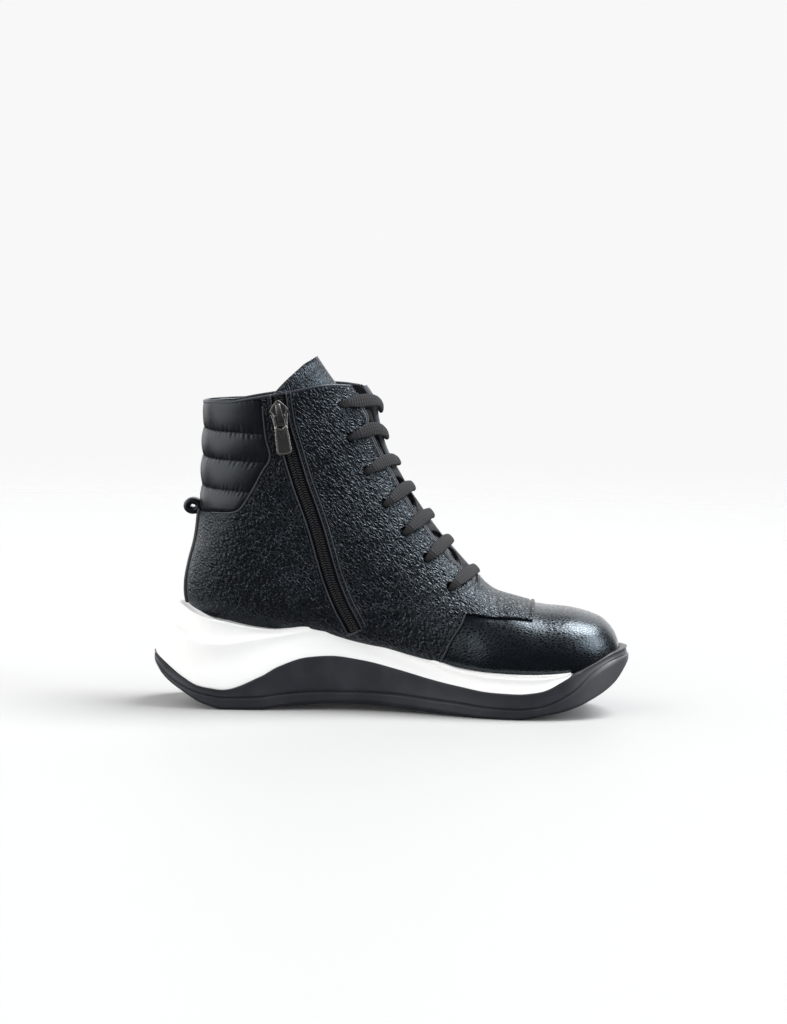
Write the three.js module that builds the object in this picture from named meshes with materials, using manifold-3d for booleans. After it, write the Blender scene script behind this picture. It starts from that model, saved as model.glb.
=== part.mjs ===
// A high-top lace-up ankle boot for the left foot, with a side zip, in millimetres.
// +X points to the toe, +Y to the outer (lateral) side, +Z up. The floor is z = 0.
// The upper is one function of two numbers, lastPoint: a fan of sections that turns from
// upright at the toe, round the heel, to nearly level at the collar.
import * as THREE from "three";
import { mergeVertices } from "three/addons/utils/BufferGeometryUtils.js";
import Module from "manifold-3d";

const wasm = await Module();
wasm.setup();

// Driving sizes
const length = 280;          // outsole, heel to toe
const ballWidth = 95;        // upper, across the ball
const heelWidth = 62;        // upper, across the heel and shaft
const soleMargin = 3.5;      // sole edge beyond the upper at the ball
const heelFlare = 6.5;       // sole edge beyond the upper at the heel
const heelSeat = 39;         // floor to the bottom of the upper at the heel
const collarHeight = 178;    // floor to the collar at the back
const gap = 0.3;             // between pieces that touch
const leather = 1.7;         // wall of the vamp
const overlap = 0.9;         // quarter leather lying over the vamp
const lastingMargin = 12;    // upper turned in under the foot
const insoleThickness = 4;
const lip = 0.8;             // outsole standing proud of the midsole
const grooveDepth = 0.8;
const lugGroove = { width: 3, depth: 1.8, pitch: 9.5 };
const padDepth = 1.2;        // recess of the collar pad in the quarter
const padRoll = 1.5;         // height of its quilted rolls
const stripWidth = 13;       // heel strip
const stripThickness = 1.8;
const tabThickness = 1.4;    // toe tab over the vamp
const tabWidth = 75;
const throatHalf = { bottom: 8.5, top: 13 };
const throatReach = { out: 18, back: 16, backAtTip: 10 };   // how far its cut goes out of and into the boot
const eyeletDiameter = 4.2;
const lace = { width: 7.8, thickness: 1.6, lift: 0.8 };
const tongueThickness = 5;
const zip = { gapWidth: 9.2, tapeThickness: 1, tapeWidth: 21, teethWidth: 5.6, teethThickness: 1.9 };
const slider = { width: 10.4, length: 14, plate: 1.6, lift: 0.4, bridge: 3, bridgeHeight: 2.4, wire: 1.2 };
const pull = { length: 22.5, topWidth: 7, width: 8.7, thickness: 1.3, wire: 1.3, clearance: 1.15 };
const loop = { width: 12, depth: 10.6, height: 9.2, wall: 2 };

const wall = leather + overlap;
const linerDepth = wall + gap;

// Places along the shoe are shares of its length. Heights are levels: 0 the floor,
// 1 the heel seat, 2 the collar at the back.
const alongX = (share) => (share - 0.5) * length;
const level = (h) => (h <= 1 ? h * heelSeat : heelSeat + (h - 1) * (collarHeight - heelSeat));
const sidePoint = ([share, h]) => [alongX(share), level(h)];

// Interpolation
function columns(names, rows) {
  return Object.fromEntries(names.map((name, k) => [name, rows.map((row) => row[k])]));
}

function monotone(xs, ys) {
  // piecewise cubic that never overshoots its points
  const n = xs.length;
  const slope = (k) => (ys[k + 1] - ys[k]) / (xs[k + 1] - xs[k]);
  const tangent = xs.map((_, k) => {
    if (k === 0) return slope(0);
    if (k === n - 1) return slope(n - 2);
    const [a, b] = [slope(k - 1), slope(k)];
    return a * b <= 0 ? 0 : (2 * a * b) / (a + b);
  });
  return (x) => {
    const at = Math.min(Math.max(x, xs[0]), xs[n - 1]);
    let k = xs.findIndex((value) => value > at) - 1;
    if (k < 0) k = n - 2;
    const h = xs[k + 1] - xs[k];
    const t = (at - xs[k]) / h;
    const [t2, t3] = [t * t, t * t * t];
    return (2 * t3 - 3 * t2 + 1) * ys[k] + (t3 - 2 * t2 + t) * h * tangent[k]
      + (3 * t2 - 2 * t3) * ys[k + 1] + (t3 - t2) * h * tangent[k + 1];
  };
}

function rounded(values) {
  // smooth curve through equally spaced values
  const last = values.length - 1;
  return (s) => {
    const k = Math.min(Math.max(Math.floor(s), 0), last - 1);
    const t = s - k;
    const [p1, p2] = [values[k], values[k + 1]];
    const p0 = k > 0 ? values[k - 1] : 2 * p1 - p2;
    const p3 = k + 2 <= last ? values[k + 2] : 2 * p2 - p1;
    return p1 + 0.5 * t * (p2 - p0 + t * (2 * p0 - 5 * p1 + 4 * p2 - p3
      + t * (3 * (p1 - p2) + p3 - p0)));
  };
}

// Solids
function toSolid(geometry) {
  const bare = new THREE.BufferGeometry();
  bare.setAttribute("position", geometry.getAttribute("position").clone());
  if (geometry.index) bare.setIndex(geometry.index.clone());
  const merged = dropThin(bare);
  const vertProperties = new Float32Array(merged.getAttribute("position").array);
  const triVerts = new Uint32Array(merged.index.array);
  const solid = new wasm.Manifold(new wasm.Mesh({ numProp: 3, vertProperties, triVerts }));
  if (solid.volume() > 0) return solid;
  for (let k = 0; k < triVerts.length; k += 3) {
    [triVerts[k + 1], triVerts[k + 2]] = [triVerts[k + 2], triVerts[k + 1]];
  }
  return new wasm.Manifold(new wasm.Mesh({ numProp: 3, vertProperties, triVerts }));
}

function toGeometry(solid) {
  const mesh = solid.getMesh();
  const geometry = new THREE.BufferGeometry();
  geometry.setAttribute("position", new THREE.BufferAttribute(new Float32Array(mesh.vertProperties), 3));
  geometry.setIndex(new THREE.BufferAttribute(new Uint32Array(mesh.triVerts), 1));
  return geometry;
}

function largest(solid) {
  // the piece that is left when a cut also frees small slivers
  const parts = solid.decompose();
  return parts.reduce((best, part) => (part.volume() > best.volume() ? part : best));
}

function loft(rings, mirroredCaps = false) {
  // closed rings of equal count, joined in order; an end ring of one repeated point is a tip
  const count = rings[0].length;
  const positions = rings.flat().flat();
  const index = [];
  for (let i = 0; i + 1 < rings.length; i++) {
    for (let j = 0; j < count; j++) {
      const [a, b] = [i * count + j, i * count + ((j + 1) % count)];
      const [c, d] = [a + count, b + count];
      index.push(a, b, c, b, d, c);
    }
  }
  const cap = (start, flip) => {
    const tri = (a, b, c) => index.push(...(flip ? [a, b, c] : [a, c, b]).map((k) => start + k));
    for (let j = 1; j + 1 < count; j++) {
      if (!mirroredCaps) tri(0, j, j + 1);
      else if (j < count / 2) {
        const far = count - j;
        if (j === 1) tri(0, 1, far);
        if (j + 1 < far - 1) {
          tri(j, j + 1, far);
          tri(j + 1, far - 1, far);
        } else tri(j, j + 1, far);
      }
    }
  };
  cap(0, false);
  cap((rings.length - 1) * count, true);
  const geometry = new THREE.BufferGeometry();
  geometry.setAttribute("position", new THREE.Float32BufferAttribute(positions, 3));
  geometry.setIndex(index);
  return toSolid(geometry);
}

function dropThin(geometry) {
  // triangles that lose their area at a tip go
  const merged = mergeVertices(geometry, 1e-3);
  const source = merged.index.array;
  const kept = [];
  for (let k = 0; k < source.length; k += 3) {
    const [a, b, c] = [source[k], source[k + 1], source[k + 2]];
    if (a !== b && b !== c && a !== c) kept.push(a, b, c);
  }
  merged.setIndex(kept);
  return merged;
}

function sideProfile(points, halfWidth = length / 2, from = -halfWidth) {
  // an outline in the side view, carried across the shoe
  const shape = new THREE.Shape(points.map(([x, z]) => new THREE.Vector2(x, z)));
  const solid = new THREE.ExtrudeGeometry(shape, { depth: halfWidth - from, bevelEnabled: false });
  solid.rotateX(Math.PI / 2);
  solid.translate(0, halfWidth, 0);
  return toSolid(solid);
}

// The last: sections from the toe, under the foot and round the heel, up to the collar.
// low and high ends in the side view, half width, sideways shift at each end, where the
// section is widest, and how square its low and high parts are. zone tells which width
// the half width follows: 0 the ball, 1 the heel and shaft.
const last = columns(
  ["lowX", "lowZ", "highX", "highZ", "half", "zone", "lowShift", "highShift", "widest", "low", "high"], [
    [0.989, 0.850, 0.989, 0.850, 0.00, 0, -0.11, -0.11, 0.42, 2.4, 2.2],
    [0.980, 0.730, 0.981, 1.020, 0.29, 0, -0.11, -0.11, 0.42, 2.4, 2.2],
    [0.967, 0.640, 0.969, 1.074, 0.46, 0, -0.10, -0.10, 0.40, 2.5, 2.2],
    [0.947, 0.570, 0.947, 1.119, 0.62, 0, -0.09, -0.10, 0.38, 2.6, 2.2],
    [0.920, 0.520, 0.920, 1.143, 0.75, 0, -0.08, -0.09, 0.36, 2.7, 2.3],
    [0.877, 0.480, 0.875, 1.164, 0.87, 0, -0.06, -0.08, 0.34, 2.8, 2.3],
    [0.821, 0.460, 0.816, 1.174, 0.96, 0, -0.03, -0.07, 0.32, 2.9, 2.2],
    [0.764, 0.460, 0.761, 1.199, 1.00, 0, 0.01, -0.06, 0.31, 3.0, 2.1],
    [0.707, 0.470, 0.711, 1.233, 0.985, 0, 0.03, -0.05, 0.30, 3.0, 1.95],
    [0.650, 0.520, 0.671, 1.309, 0.92, 0, 0.055, -0.04, 0.28, 3.0, 1.85],
    [0.593, 0.590, 0.636, 1.388, 0.845, 0, 0.07, -0.04, 0.27, 3.0, 1.85],
    [0.532, 0.690, 0.600, 1.471, 0.775, 0, 0.08, -0.03, 0.26, 3.0, 1.9],
    [0.468, 0.800, 0.568, 1.558, 0.722, 0, 0.08, -0.03, 0.26, 3.0, 1.95],
    [0.400, 0.900, 0.537, 1.644, 1.055, 1, 0.06, -0.02, 0.28, 2.9, 2.05],
    [0.329, 0.970, 0.511, 1.730, 1.035, 1, 0.04, -0.02, 0.30, 2.8, 2.15],
    [0.254, 0.990, 0.486, 1.817, 1.03, 1, 0.02, -0.01, 0.33, 2.7, 2.25],
    [0.182, 1.007, 0.466, 1.892, 1.025, 1, 0.01, -0.01, 0.36, 2.6, 2.3],
    [0.125, 1.032, 0.451, 1.957, 1.02, 1, 0.005, 0, 0.38, 2.5, 2.35],
    [0.086, 1.079, 0.439, 2.004, 1.01, 1, 0, 0, 0.40, 2.4, 2.4],
    [0.069, 1.151, 0.431, 2.032, 1.005, 1, 0, 0, 0.42, 2.35, 2.4],
    [0.064, 1.230, 0.426, 2.054, 1.00, 1, 0, 0, 0.43, 2.3, 2.4],
    [0.069, 1.317, 0.422, 2.076, 0.995, 1, 0, 0, 0.44, 2.3, 2.4],
    [0.080, 1.417, 0.418, 2.094, 0.985, 1, 0, 0, 0.45, 2.3, 2.4],
    [0.086, 1.525, 0.414, 2.108, 0.985, 1, 0, 0, 0.46, 2.3, 2.4],
    [0.086, 1.640, 0.411, 2.122, 0.99, 1, 0, 0, 0.47, 2.3, 2.4],
    [0.084, 1.763, 0.407, 2.137, 1.00, 1, 0, 0, 0.48, 2.3, 2.4],
    [0.084, 1.885, 0.404, 2.151, 1.005, 1, 0, 0, 0.48, 2.3, 2.4],
    [0.084, 2.000, 0.400, 2.165, 1.015, 1, 0, 0, 0.48, 2.3, 2.4],
    [0.083, 2.144, 0.393, 2.240, 1.015, 1, 0, 0, 0.48, 2.3, 2.4],
    [0.081, 2.290, 0.386, 2.340, 1.015, 1, 0, 0, 0.48, 2.3, 2.4],
  ]);
const lastCurve = Object.fromEntries(Object.entries(last).map(([name, values]) => [name, rounded(values)]));
const lastRows = last.lowX.length;
const namedHalf = (zone) => (ballWidth + (heelWidth - ballWidth) * zone) / 2;

function section(s) {
  const zone = Math.round(lastCurve.zone(s));
  return {
    low: [alongX(lastCurve.lowX(s)), level(lastCurve.lowZ(s))],
    high: [alongX(lastCurve.highX(s)), level(lastCurve.highZ(s))],
    half: sectionHalf(s),
    lowShift: lastCurve.lowShift(s) * namedHalf(zone),
    highShift: lastCurve.highShift(s) * namedHalf(zone),
    widest: lastCurve.widest(s),
    lowPower: lastCurve.low(s),
    highPower: lastCurve.high(s),
  };
}

const halfWidths = rounded(last.half.map((share, k) => share * namedHalf(last.zone[k])));
function sectionHalf(s) {
  return Math.max(halfWidths(s), 0);
}

// turn runs from -1 to 1: 0 at the front or top end, -1 and 1 at the low or back end;
// negative on the inner (medial) side
function lastPoint(s, turn) {
  const at = section(s);
  const angle = Math.abs(turn) * Math.PI;
  const front = angle < Math.PI / 2;
  const power = front ? at.highPower : at.lowPower;
  const reach = Math.abs(Math.cos(angle)) ** (2 / power);
  const side = Math.sin(angle) ** (2 / power);
  const t = front ? at.widest + (1 - at.widest) * reach : at.widest * (1 - reach);
  const shift = at.lowShift + (at.highShift - at.lowShift) * t;
  return [
    at.low[0] + (at.high[0] - at.low[0]) * t,
    shift + Math.sign(turn || 1) * at.half * side,
    at.low[1] + (at.high[1] - at.low[1]) * t,
  ];
}

function lastNormal(s, turn) {
  const ds = 0.06;
  const dt = 0.02;
  const clampTurn = (value) => (value > 1 ? value - 2 : value < -1 ? value + 2 : value);
  const s0 = Math.max(s - ds, 0.001);
  const s1 = Math.min(s + ds, lastRows - 1);
  const a = new THREE.Vector3(...lastPoint(s1, turn)).sub(new THREE.Vector3(...lastPoint(s0, turn)));
  const b = new THREE.Vector3(...lastPoint(s, clampTurn(turn + dt)))
    .sub(new THREE.Vector3(...lastPoint(s, clampTurn(turn - dt))));
  return b.cross(a).normalize();
}

function offsetPoint(s, turn, offset) {
  const point = lastPoint(s, turn);
  if (s < 0.02) return [point[0] + offset, point[1], point[2]];
  const normal = lastNormal(s, turn);
  return [point[0] + normal.x * offset, point[1] + normal.y * offset, point[2] + normal.z * offset];
}

const ringSides = 22;
const ringTurns = Array.from({ length: ringSides }, (_, j) => -1 + (2 * j) / ringSides);
const wholeLast = [0, 0.35, 0.9, 1.6, 2.3, 3, 4, 5, 6.2, 7.4, 8.6, 10, 11.4, 12.8, 14.2, 15.5, 16.5, 17.4,
  18.3, 19.3, 20.4, 21.7, 23.2, 25, 27, lastRows - 1];

function form(offset, sections = wholeLast, turns = ringTurns) {
  const amount = typeof offset === "function" ? offset : () => offset;
  return loft(sections.map((s) => turns.map((turn) => offsetPoint(s, turn, amount(s, turn)))));
}

function findOnSide([x, z], side) {
  // the place on the last that is seen at x, z from one side
  const miss = (s) => {
    const at = section(s);
    return (at.high[0] - at.low[0]) * (z - at.low[1]) - (at.high[1] - at.low[1]) * (x - at.low[0]);
  };
  let [s0, s1] = [0.5, lastRows - 1];
  for (let k = 0; k < 40; k++) {
    const middle = (s0 + s1) / 2;
    if (miss(middle) * miss(s1) > 0) s1 = middle;
    else s0 = middle;
  }
  const at = section(s0);
  const span = [at.high[0] - at.low[0], at.high[1] - at.low[1]];
  const t = ((x - at.low[0]) * span[0] + (z - at.low[1]) * span[1]) / (span[0] ** 2 + span[1] ** 2);
  const front = t > at.widest;
  const power = front ? at.highPower : at.lowPower;
  const reach = Math.min(front ? (t - at.widest) / (1 - at.widest) : 1 - t / at.widest, 1);
  const quarter = Math.acos(Math.max(reach, 0) ** (power / 2));
  return { s: s0, turn: (side * (front ? quarter : Math.PI - quarter)) / Math.PI };
}

// The sole: rings round its plan, from the tread up to the line where the upper leaves it
const plan = columns(["at", "half", "zone", "shift"], [
  [0.00, 0.985, 1, 0.00],
  [0.16, 1.000, 1, 0.00],
  [0.25, 0.970, 1, 0.01],
  [0.35, 0.915, 1, 0.055],
  [0.45, 0.950, 1, 0.10],
  [0.55, 0.790, 0, 0.085],
  [0.63, 0.905, 0, 0.06],
  [0.70, 0.980, 0, 0.025],
  [0.75, 1.000, 0, 0.00],
  [0.82, 0.975, 0, -0.025],
  [0.90, 0.920, 0, -0.06],
  [1.00, 0.860, 0, -0.11],
]);
const soleHalf = (zone) => (zone ? heelWidth / 2 + heelFlare : ballWidth / 2 + soleMargin);
const planHalf = monotone(plan.at, plan.half.map((share, k) => share * soleHalf(plan.zone[k])));
const planShift = monotone(plan.at, plan.shift.map((share) => share * soleHalf(0)));
const heelRound = 0.135;
const toeRound = 0.2;

const sole = columns(["at", "tread", "edge", "groove", "wave", "feather", "lean", "valley", "ridge"], [
  [0.000, 0.62, 0.65, 0.69, 0.77, 1.142, 0.86, 0.30, 0.62],
  [0.030, 0.40, 0.44, 0.50, 0.65, 1.131, 0.80, 0.30, 0.62],
  [0.070, 0.23, 0.27, 0.34, 0.47, 1.114, 0.60, 0.34, 0.63],
  [0.105, 0.10, 0.15, 0.25, 0.35, 1.101, 0.42, 0.38, 0.64],
  [0.130, 0.045, 0.085, 0.21, 0.32, 1.092, 0.32, 0.42, 0.66],
  [0.155, 0.00, 0.04, 0.185, 0.32, 1.083, 0.28, 0.44, 0.69],
  [0.235, 0.00, 0.05, 0.20, 0.545, 1.056, 0.27, 0.54, 0.82],
  [0.270, 0.05, 0.09, 0.24, 0.71, 1.052, 0.27, 0.60, 0.86],
  [0.330, 0.08, 0.14, 0.28, 0.84, 1.062, 0.30, 0.62, 0.86],
  [0.380, 0.10, 0.17, 0.29, 0.87, 1.052, 0.33, 0.60, 0.85],
  [0.440, 0.10, 0.18, 0.29, 0.82, 1.018, 0.33, 0.58, 0.84],
  [0.520, 0.06, 0.15, 0.28, 0.69, 0.910, 0.30, 0.56, 0.83],
  [0.585, 0.03, 0.11, 0.24, 0.56, 0.820, 0.26, 0.55, 0.82],
  [0.650, 0.01, 0.07, 0.21, 0.46, 0.720, 0.21, 0.53, 0.82],
  [0.712, 0.00, 0.04, 0.17, 0.40, 0.660, 0.17, 0.50, 0.82],
  [0.768, 0.00, 0.04, 0.16, 0.39, 0.650, 0.15, 0.48, 0.82],
  [0.815, 0.055, 0.10, 0.20, 0.44, 0.655, 0.13, 0.45, 0.80],
  [0.880, 0.15, 0.20, 0.41, 0.60, 0.690, 0.11, 0.45, 0.80],
  [0.930, 0.30, 0.35, 0.72, 0.79, 0.840, 0.09, 0.45, 0.80],
  [0.970, 0.48, 0.54, 0.86, 0.92, 0.975, 0.08, 0.45, 0.80],
  [1.000, 0.76, 0.82, 0.91, 0.96, 1.005, 0.07, 0.45, 0.80],
]);
const soleLine = Object.fromEntries(Object.keys(sole).slice(1)
  .map((name) => [name, monotone(sole.at, sole[name])]));
const leanSize = heelFlare * 2.4;    // how far the midsole leans in at the back of the heel
const treadInset = 2.6;
const ledge = heelFlare + 1.5;       // top of the midsole, turned in to the upper
const ledgeRise = 0.5;
const rimRound = 0.4;                // rounding of the tread's rim
const rimStep = 0.35;                // least height between two rings near it
const scoop = 1.4;
const halfSteps = 22;

function planPoint(at) {
  const round = at < heelRound ? Math.sqrt(Math.max(1 - (1 - at / heelRound) ** 2, 0))
    : at > 1 - toeRound ? Math.sqrt(Math.max(1 - ((at - 1 + toeRound) / toeRound) ** 2, 0)) : 1;
  return { x: alongX(at), half: planHalf(at) * round, shift: planShift(at) };
}

const planStations = Array.from({ length: halfSteps + 1 }, (_, k) => (1 - Math.cos((Math.PI * k) / halfSteps)) / 2);
const planRing = [
  ...planStations.map((at) => ({ at, side: -1 })),
  ...planStations.slice(1, -1).reverse().map((at) => ({ at, side: 1 })),
].map(({ at, side }) => {
  const { x, half, shift } = planPoint(at);
  return { at, x, y: shift + side * half };
});
const planMiddle = (Math.max(...planRing.map((p) => p.y)) + Math.min(...planRing.map((p) => p.y))) / 2;

function soleRing(inset, height) {
  // inset and height are functions of the place along the sole
  const count = planRing.length;
  return planRing.map((point, k) => {
    const before = planRing[(k + count - 1) % count];
    const after = planRing[(k + 1) % count];
    const run = Math.hypot(after.x - before.x, after.y - before.y);
    const inward = [-(after.y - before.y) / run, (after.x - before.x) / run];
    const depth = inset(point.at);
    return [point.x + inward[0] * depth, point.y + inward[1] * depth - planMiddle, height(point.at)];
  });
}

function soleBlock(grow, fromGroove = false) {
  const { tread, edge, groove, wave, feather, lean, valley, ridge } = soleLine;
  const out = (value) => () => value + lip - grow;
  const notch = grooveDepth * 0.9;
  const side = (share, extra) => soleRing(
    (at) => lip - grow + lean(at) * leanSize * share(at) ** 1.25 + extra,
    (at) => level(wave(at)) + (level(feather(at)) - level(wave(at))) * share(at));
  const half = (a, b) => (at) => (a(at) + b(at)) / 2;
  const whole = () => 1;
  const none = () => 0;
  const rings = fromGroove
    ? [soleRing(out(treadInset), (at) => level(groove(at)) + notch)]
    : [
      soleRing(out(treadInset), (at) => level(tread(at))),
      soleRing(out(rimRound), (at) => level(edge(at))),
      soleRing(out(0), (at) => Math.max(level(groove(at)) - notch, level(edge(at)) + rimStep)),
      soleRing(out(grooveDepth), (at) => Math.max(level(groove(at)), level(edge(at)) + 2 * rimStep)),
    ];
  return loft([
    ...rings,
    soleRing(out(0), (at) => Math.max(level(groove(at)) + notch, level(edge(at)) + 3 * rimStep)),
    side(none, 0),
    side(half(none, valley), scoop * 0.6),
    side(valley, scoop),
    side(half(valley, ridge), scoop * 0.5),
    side(ridge, 0),
    side(half(ridge, whole), scoop * 0.5),
    side(whole, gap),
    soleRing((at) => lip + lean(at) * leanSize + ledge, (at) => level(feather(at)) + ledgeRise),
  ], true);
}

// where the white of the midsole ends in a thin tip, and the rubber wraps the toe
const whiteTip = 0.876;
function aboveWave(lift) {
  const points = [];
  for (let at = 0; at <= whiteTip + 1e-6; at += whiteTip / 46) {
    points.push([alongX(at), level(soleLine.wave(at)) + lift]);
  }
  const [endX] = points[points.length - 1];
  points[points.length - 1][0] -= lift;
  points.push([endX - lift, level(1.6)], [alongX(-0.05), level(1.6)], [alongX(-0.05), points[0][1]]);
  return sideProfile(points);
}

const lastBottom = (() => {
  const places = [];
  for (let s = 18; s >= 1; s -= 0.25) places.push(section(s).low);
  return monotone(places.map((p) => p[0]), places.map((p) => p[1]));
})();

function underfoot(inset, from, to) {
  return loft([
    soleRing(() => inset, (at) => lastBottom(alongX(at)) + from),
    soleRing(() => inset, (at) => lastBottom(alongX(at)) + to),
  ], true);
}

const belowFoot = (heelSeat * 5) / 13;
const lugCuts = () => {
  const cuts = [];
  for (const [from, to] of [[0.17, 0.3], [0.56, 0.86]]) {
    for (let x = alongX(from); x < alongX(to); x += lugGroove.pitch) {
      const at = x / length + 0.5;
      const bar = new THREE.BoxGeometry(lugGroove.width, ballWidth * 2, lugGroove.depth * 2);
      bar.translate(x, 0, level(soleLine.tread(at)));
      cuts.push(toSolid(bar));
    }
  }
  return cuts;
};

const openFoot = form(gap);
function outsoleSolid() {
  let solid = soleBlock(lip).subtract(aboveWave(0)).subtract(openFoot);
  for (const cut of lugCuts()) solid = solid.subtract(cut);
  return largest(solid);
}
const midsoleSolid = () => largest(soleBlock(0, true).intersect(aboveWave(gap)).subtract(openFoot));

// Outlines in the side view, as shares of length and levels
const quarterSeam = [[0.605, 0.60], [0.607, 0.79], [0.617, 0.94], [0.630, 1.04], [0.648, 1.10],
  [0.657, 1.147], [0.670, 1.181], [0.682, 1.219], [0.685, 1.244], [0.683, 1.29], [0.720, 1.45]];
const collarLine = [[0.04, 2.0], [0.08, 2.0], [0.157, 2.002], [0.20, 2.018], [0.25, 2.036], [0.279, 2.048],
  [0.335, 2.077], [0.367, 2.09], [0.391, 2.091], [0.411, 2.082], [0.50, 2.03]];
const padOutline = [[0.04, 1.53], [0.131, 1.537], [0.165, 1.541], [0.184, 1.556], [0.198, 1.594],
  [0.211, 1.64], [0.230, 1.715], [0.246, 1.776], [0.237, 1.855], [0.232, 1.935], [0.218, 2.0], [0.205, 2.4],
  [0.04, 2.4]];
const quiltLines = [1.645, 1.77, 1.888];
const zipLine = [[0.429, 1.050], [0.418, 1.094], [0.400, 1.160], [0.379, 1.259], [0.363, 1.358],
  [0.347, 1.466], [0.329, 1.568], [0.311, 1.662], [0.289, 1.799], [0.271, 1.914], [0.261, 2.043], [0.255, 2.12]];
const eyelets = [[0.387, 2.003], [0.411, 1.868], [0.446, 1.727], [0.487, 1.592], [0.529, 1.475],
  [0.577, 1.369], [0.628, 1.255]];
const barTops = [[0.452, 1.985], [0.468, 1.875], [0.499, 1.770], [0.534, 1.652], [0.575, 1.538],
  [0.617, 1.434], [0.672, 1.305]];

function aboveLine(line, lift = 0) {
  const points = line.map(sidePoint).map(([x, z]) => [x, z + lift]);
  const [first, end] = [points[0], points[points.length - 1]];
  const roof = level(2.6);
  return sideProfile([...points, [end[0], roof], [first[0], roof]]);
}

function ribbonProfile(line, width, grow = 0) {
  // a band of even width along a line of the side view
  const points = line.map(sidePoint);
  const rims = [[], []];
  points.forEach((point, k) => {
    const before = points[Math.max(k - 1, 0)];
    const after = points[Math.min(k + 1, points.length - 1)];
    const run = Math.hypot(after[0] - before[0], after[1] - before[1]);
    const normal = [(after[1] - before[1]) / run, -(after[0] - before[0]) / run];
    const end = k === 0 ? -grow : 0;
    const along = [((after[0] - before[0]) / run) * end, ((after[1] - before[1]) / run) * end];
    rims.forEach((rim, side) => {
      const reach = (side ? -1 : 1) * (width / 2 + grow);
      rim.push([point[0] + along[0] + normal[0] * reach, point[1] + along[1] + normal[1] * reach]);
    });
  });
  return [...rims[0], ...rims[1].reverse()];
}

const medialBand = (width, grow, line = zipLine) => (
  sideProfile(ribbonProfile(line, width, grow), -heelWidth / 30, -length / 2));

const quarterZone = (() => {
  const seam = quarterSeam.map(sidePoint);
  const roof = level(2.6);
  return sideProfile([...seam, [seam[seam.length - 1][0], roof], [alongX(-0.1), roof],
    [alongX(-0.1), level(-0.1)], [seam[0][0], level(-0.1)]]);
})();

// Upper
const throatRows = [8.45, 8.7, 9.3, 10.6, 12, 13.5, 15, 16.5, 18.5, 22, lastRows - 1];
function throatCut(clear = 0) {
  const top = section(throatRows[throatRows.length - 1]).high;
  const centre = (s) => section(s).high;
  return loft(throatRows.map((s, k) => {
    const [x, z] = centre(s);
    const before = centre(Math.max(s - 0.4, throatRows[0]));
    const after = k + 1 < throatRows.length ? centre(s + 0.4) : top;
    const run = Math.hypot(after[0] - before[0], after[1] - before[1]) || 1;
    const out = k === 0 ? [0.8, 0.6] : [(after[1] - before[1]) / run, -(after[0] - before[0]) / run];
    const share = k / (throatRows.length - 1);
    const half = throatHalf.bottom * (k === 0 ? 0.55 : 1) + (throatHalf.top - throatHalf.bottom) * share - clear;
    const shift = section(s).highShift;
    const [far, near] = [throatReach.out, k === 0 ? -throatReach.backAtTip : -throatReach.back];
    return [
      [x + out[0] * far, shift - half, z + out[1] * far],
      [x + out[0] * far, shift + half, z + out[1] * far],
      [x + out[0] * near, shift + half, z + out[1] * near],
      [x + out[0] * near, shift - half, z + out[1] * near],
    ];
  }));
}

function placeOn(geometry, s, turn, offset, along) {
  // turns z out of the surface and y along the given line of the side view
  const normal = lastNormal(s, turn);
  const y = along.clone().sub(normal.clone().multiplyScalar(along.dot(normal))).normalize();
  const x = y.clone().cross(normal).normalize();
  const frame = new THREE.Matrix4().makeBasis(x, y, normal);
  frame.setPosition(...offsetPoint(s, turn, offset));
  return geometry.clone().applyMatrix4(frame);
}

const sides = [-1, 1];
function eyeletCut(place, side) {
  const { s, turn } = findOnSide(sidePoint(place), side);
  const cutter = new THREE.CylinderGeometry(eyeletDiameter / 2, eyeletDiameter / 2, wall * 4, 7);
  cutter.rotateX(Math.PI / 2);
  return toSolid(placeOn(cutter, s, turn, 0, new THREE.Vector3(0, 0, 1)));
}

const padZone = sideProfile(padOutline.map(sidePoint));
const padSections = Array.from({ length: 22 }, (_, k) => 22 + k * 0.32);
const padBase = form(-padDepth);

function upperSolid() {
  const outer = form(-overlap).add(form(0).intersect(quarterZone));
  const recess = form(overlap * 4).subtract(padBase).intersect(padZone);
  let solid = outer.subtract(recess).subtract(form(-wall));
  solid = solid.subtract(aboveLine(collarLine));
  solid = solid.subtract(throatCut());
  solid = solid.subtract(medialBand(zip.gapWidth, 0));
  solid = solid.subtract(underfoot(soleMargin + lastingMargin + wall, -belowFoot, wall + insoleThickness));
  for (const place of eyelets) {
    for (const side of sides) solid = solid.subtract(eyeletCut(place, side));
  }
  return largest(solid);
}

function insoleSolid() {
  const board = form(-linerDepth).intersect(underfoot(-heelWidth / 2, -wall, wall + gap + insoleThickness));
  const plug = form(0).intersect(
    underfoot(soleMargin + lastingMargin + wall + gap, -belowFoot, wall + insoleThickness / 2));
  return largest(board.add(plug));
}

// Tongue
const tonguePath = columns(["x", "z", "half", "depth"], [
  [0.730, 1.165, 0.40, 0.16],
  [0.686, 1.237, 0.42, 0.20],
  [0.657, 1.302, 0.44, 0.24],
  [0.623, 1.378, 0.46, 0.28],
  [0.588, 1.460, 0.47, 0.32],
  [0.554, 1.547, 0.48, 0.36],
  [0.521, 1.637, 0.49, 0.40],
  [0.493, 1.727, 0.50, 0.44],
  [0.464, 1.820, 0.51, 0.48],
  [0.436, 1.914, 0.52, 0.50],
  [0.404, 2.007, 0.52, 0.53],
  [0.368, 2.101, 0.51, 0.58],
  [0.345, 2.165, 0.44, 0.44],
  [0.334, 2.198, 0.28, 0.18],
]);
const tongueCurve = Object.fromEntries(Object.entries(tonguePath).map(([name, values]) => [name, rounded(values)]));
const tongueTurn = 1.35;     // half the angle that the tongue wraps round the instep

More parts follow.
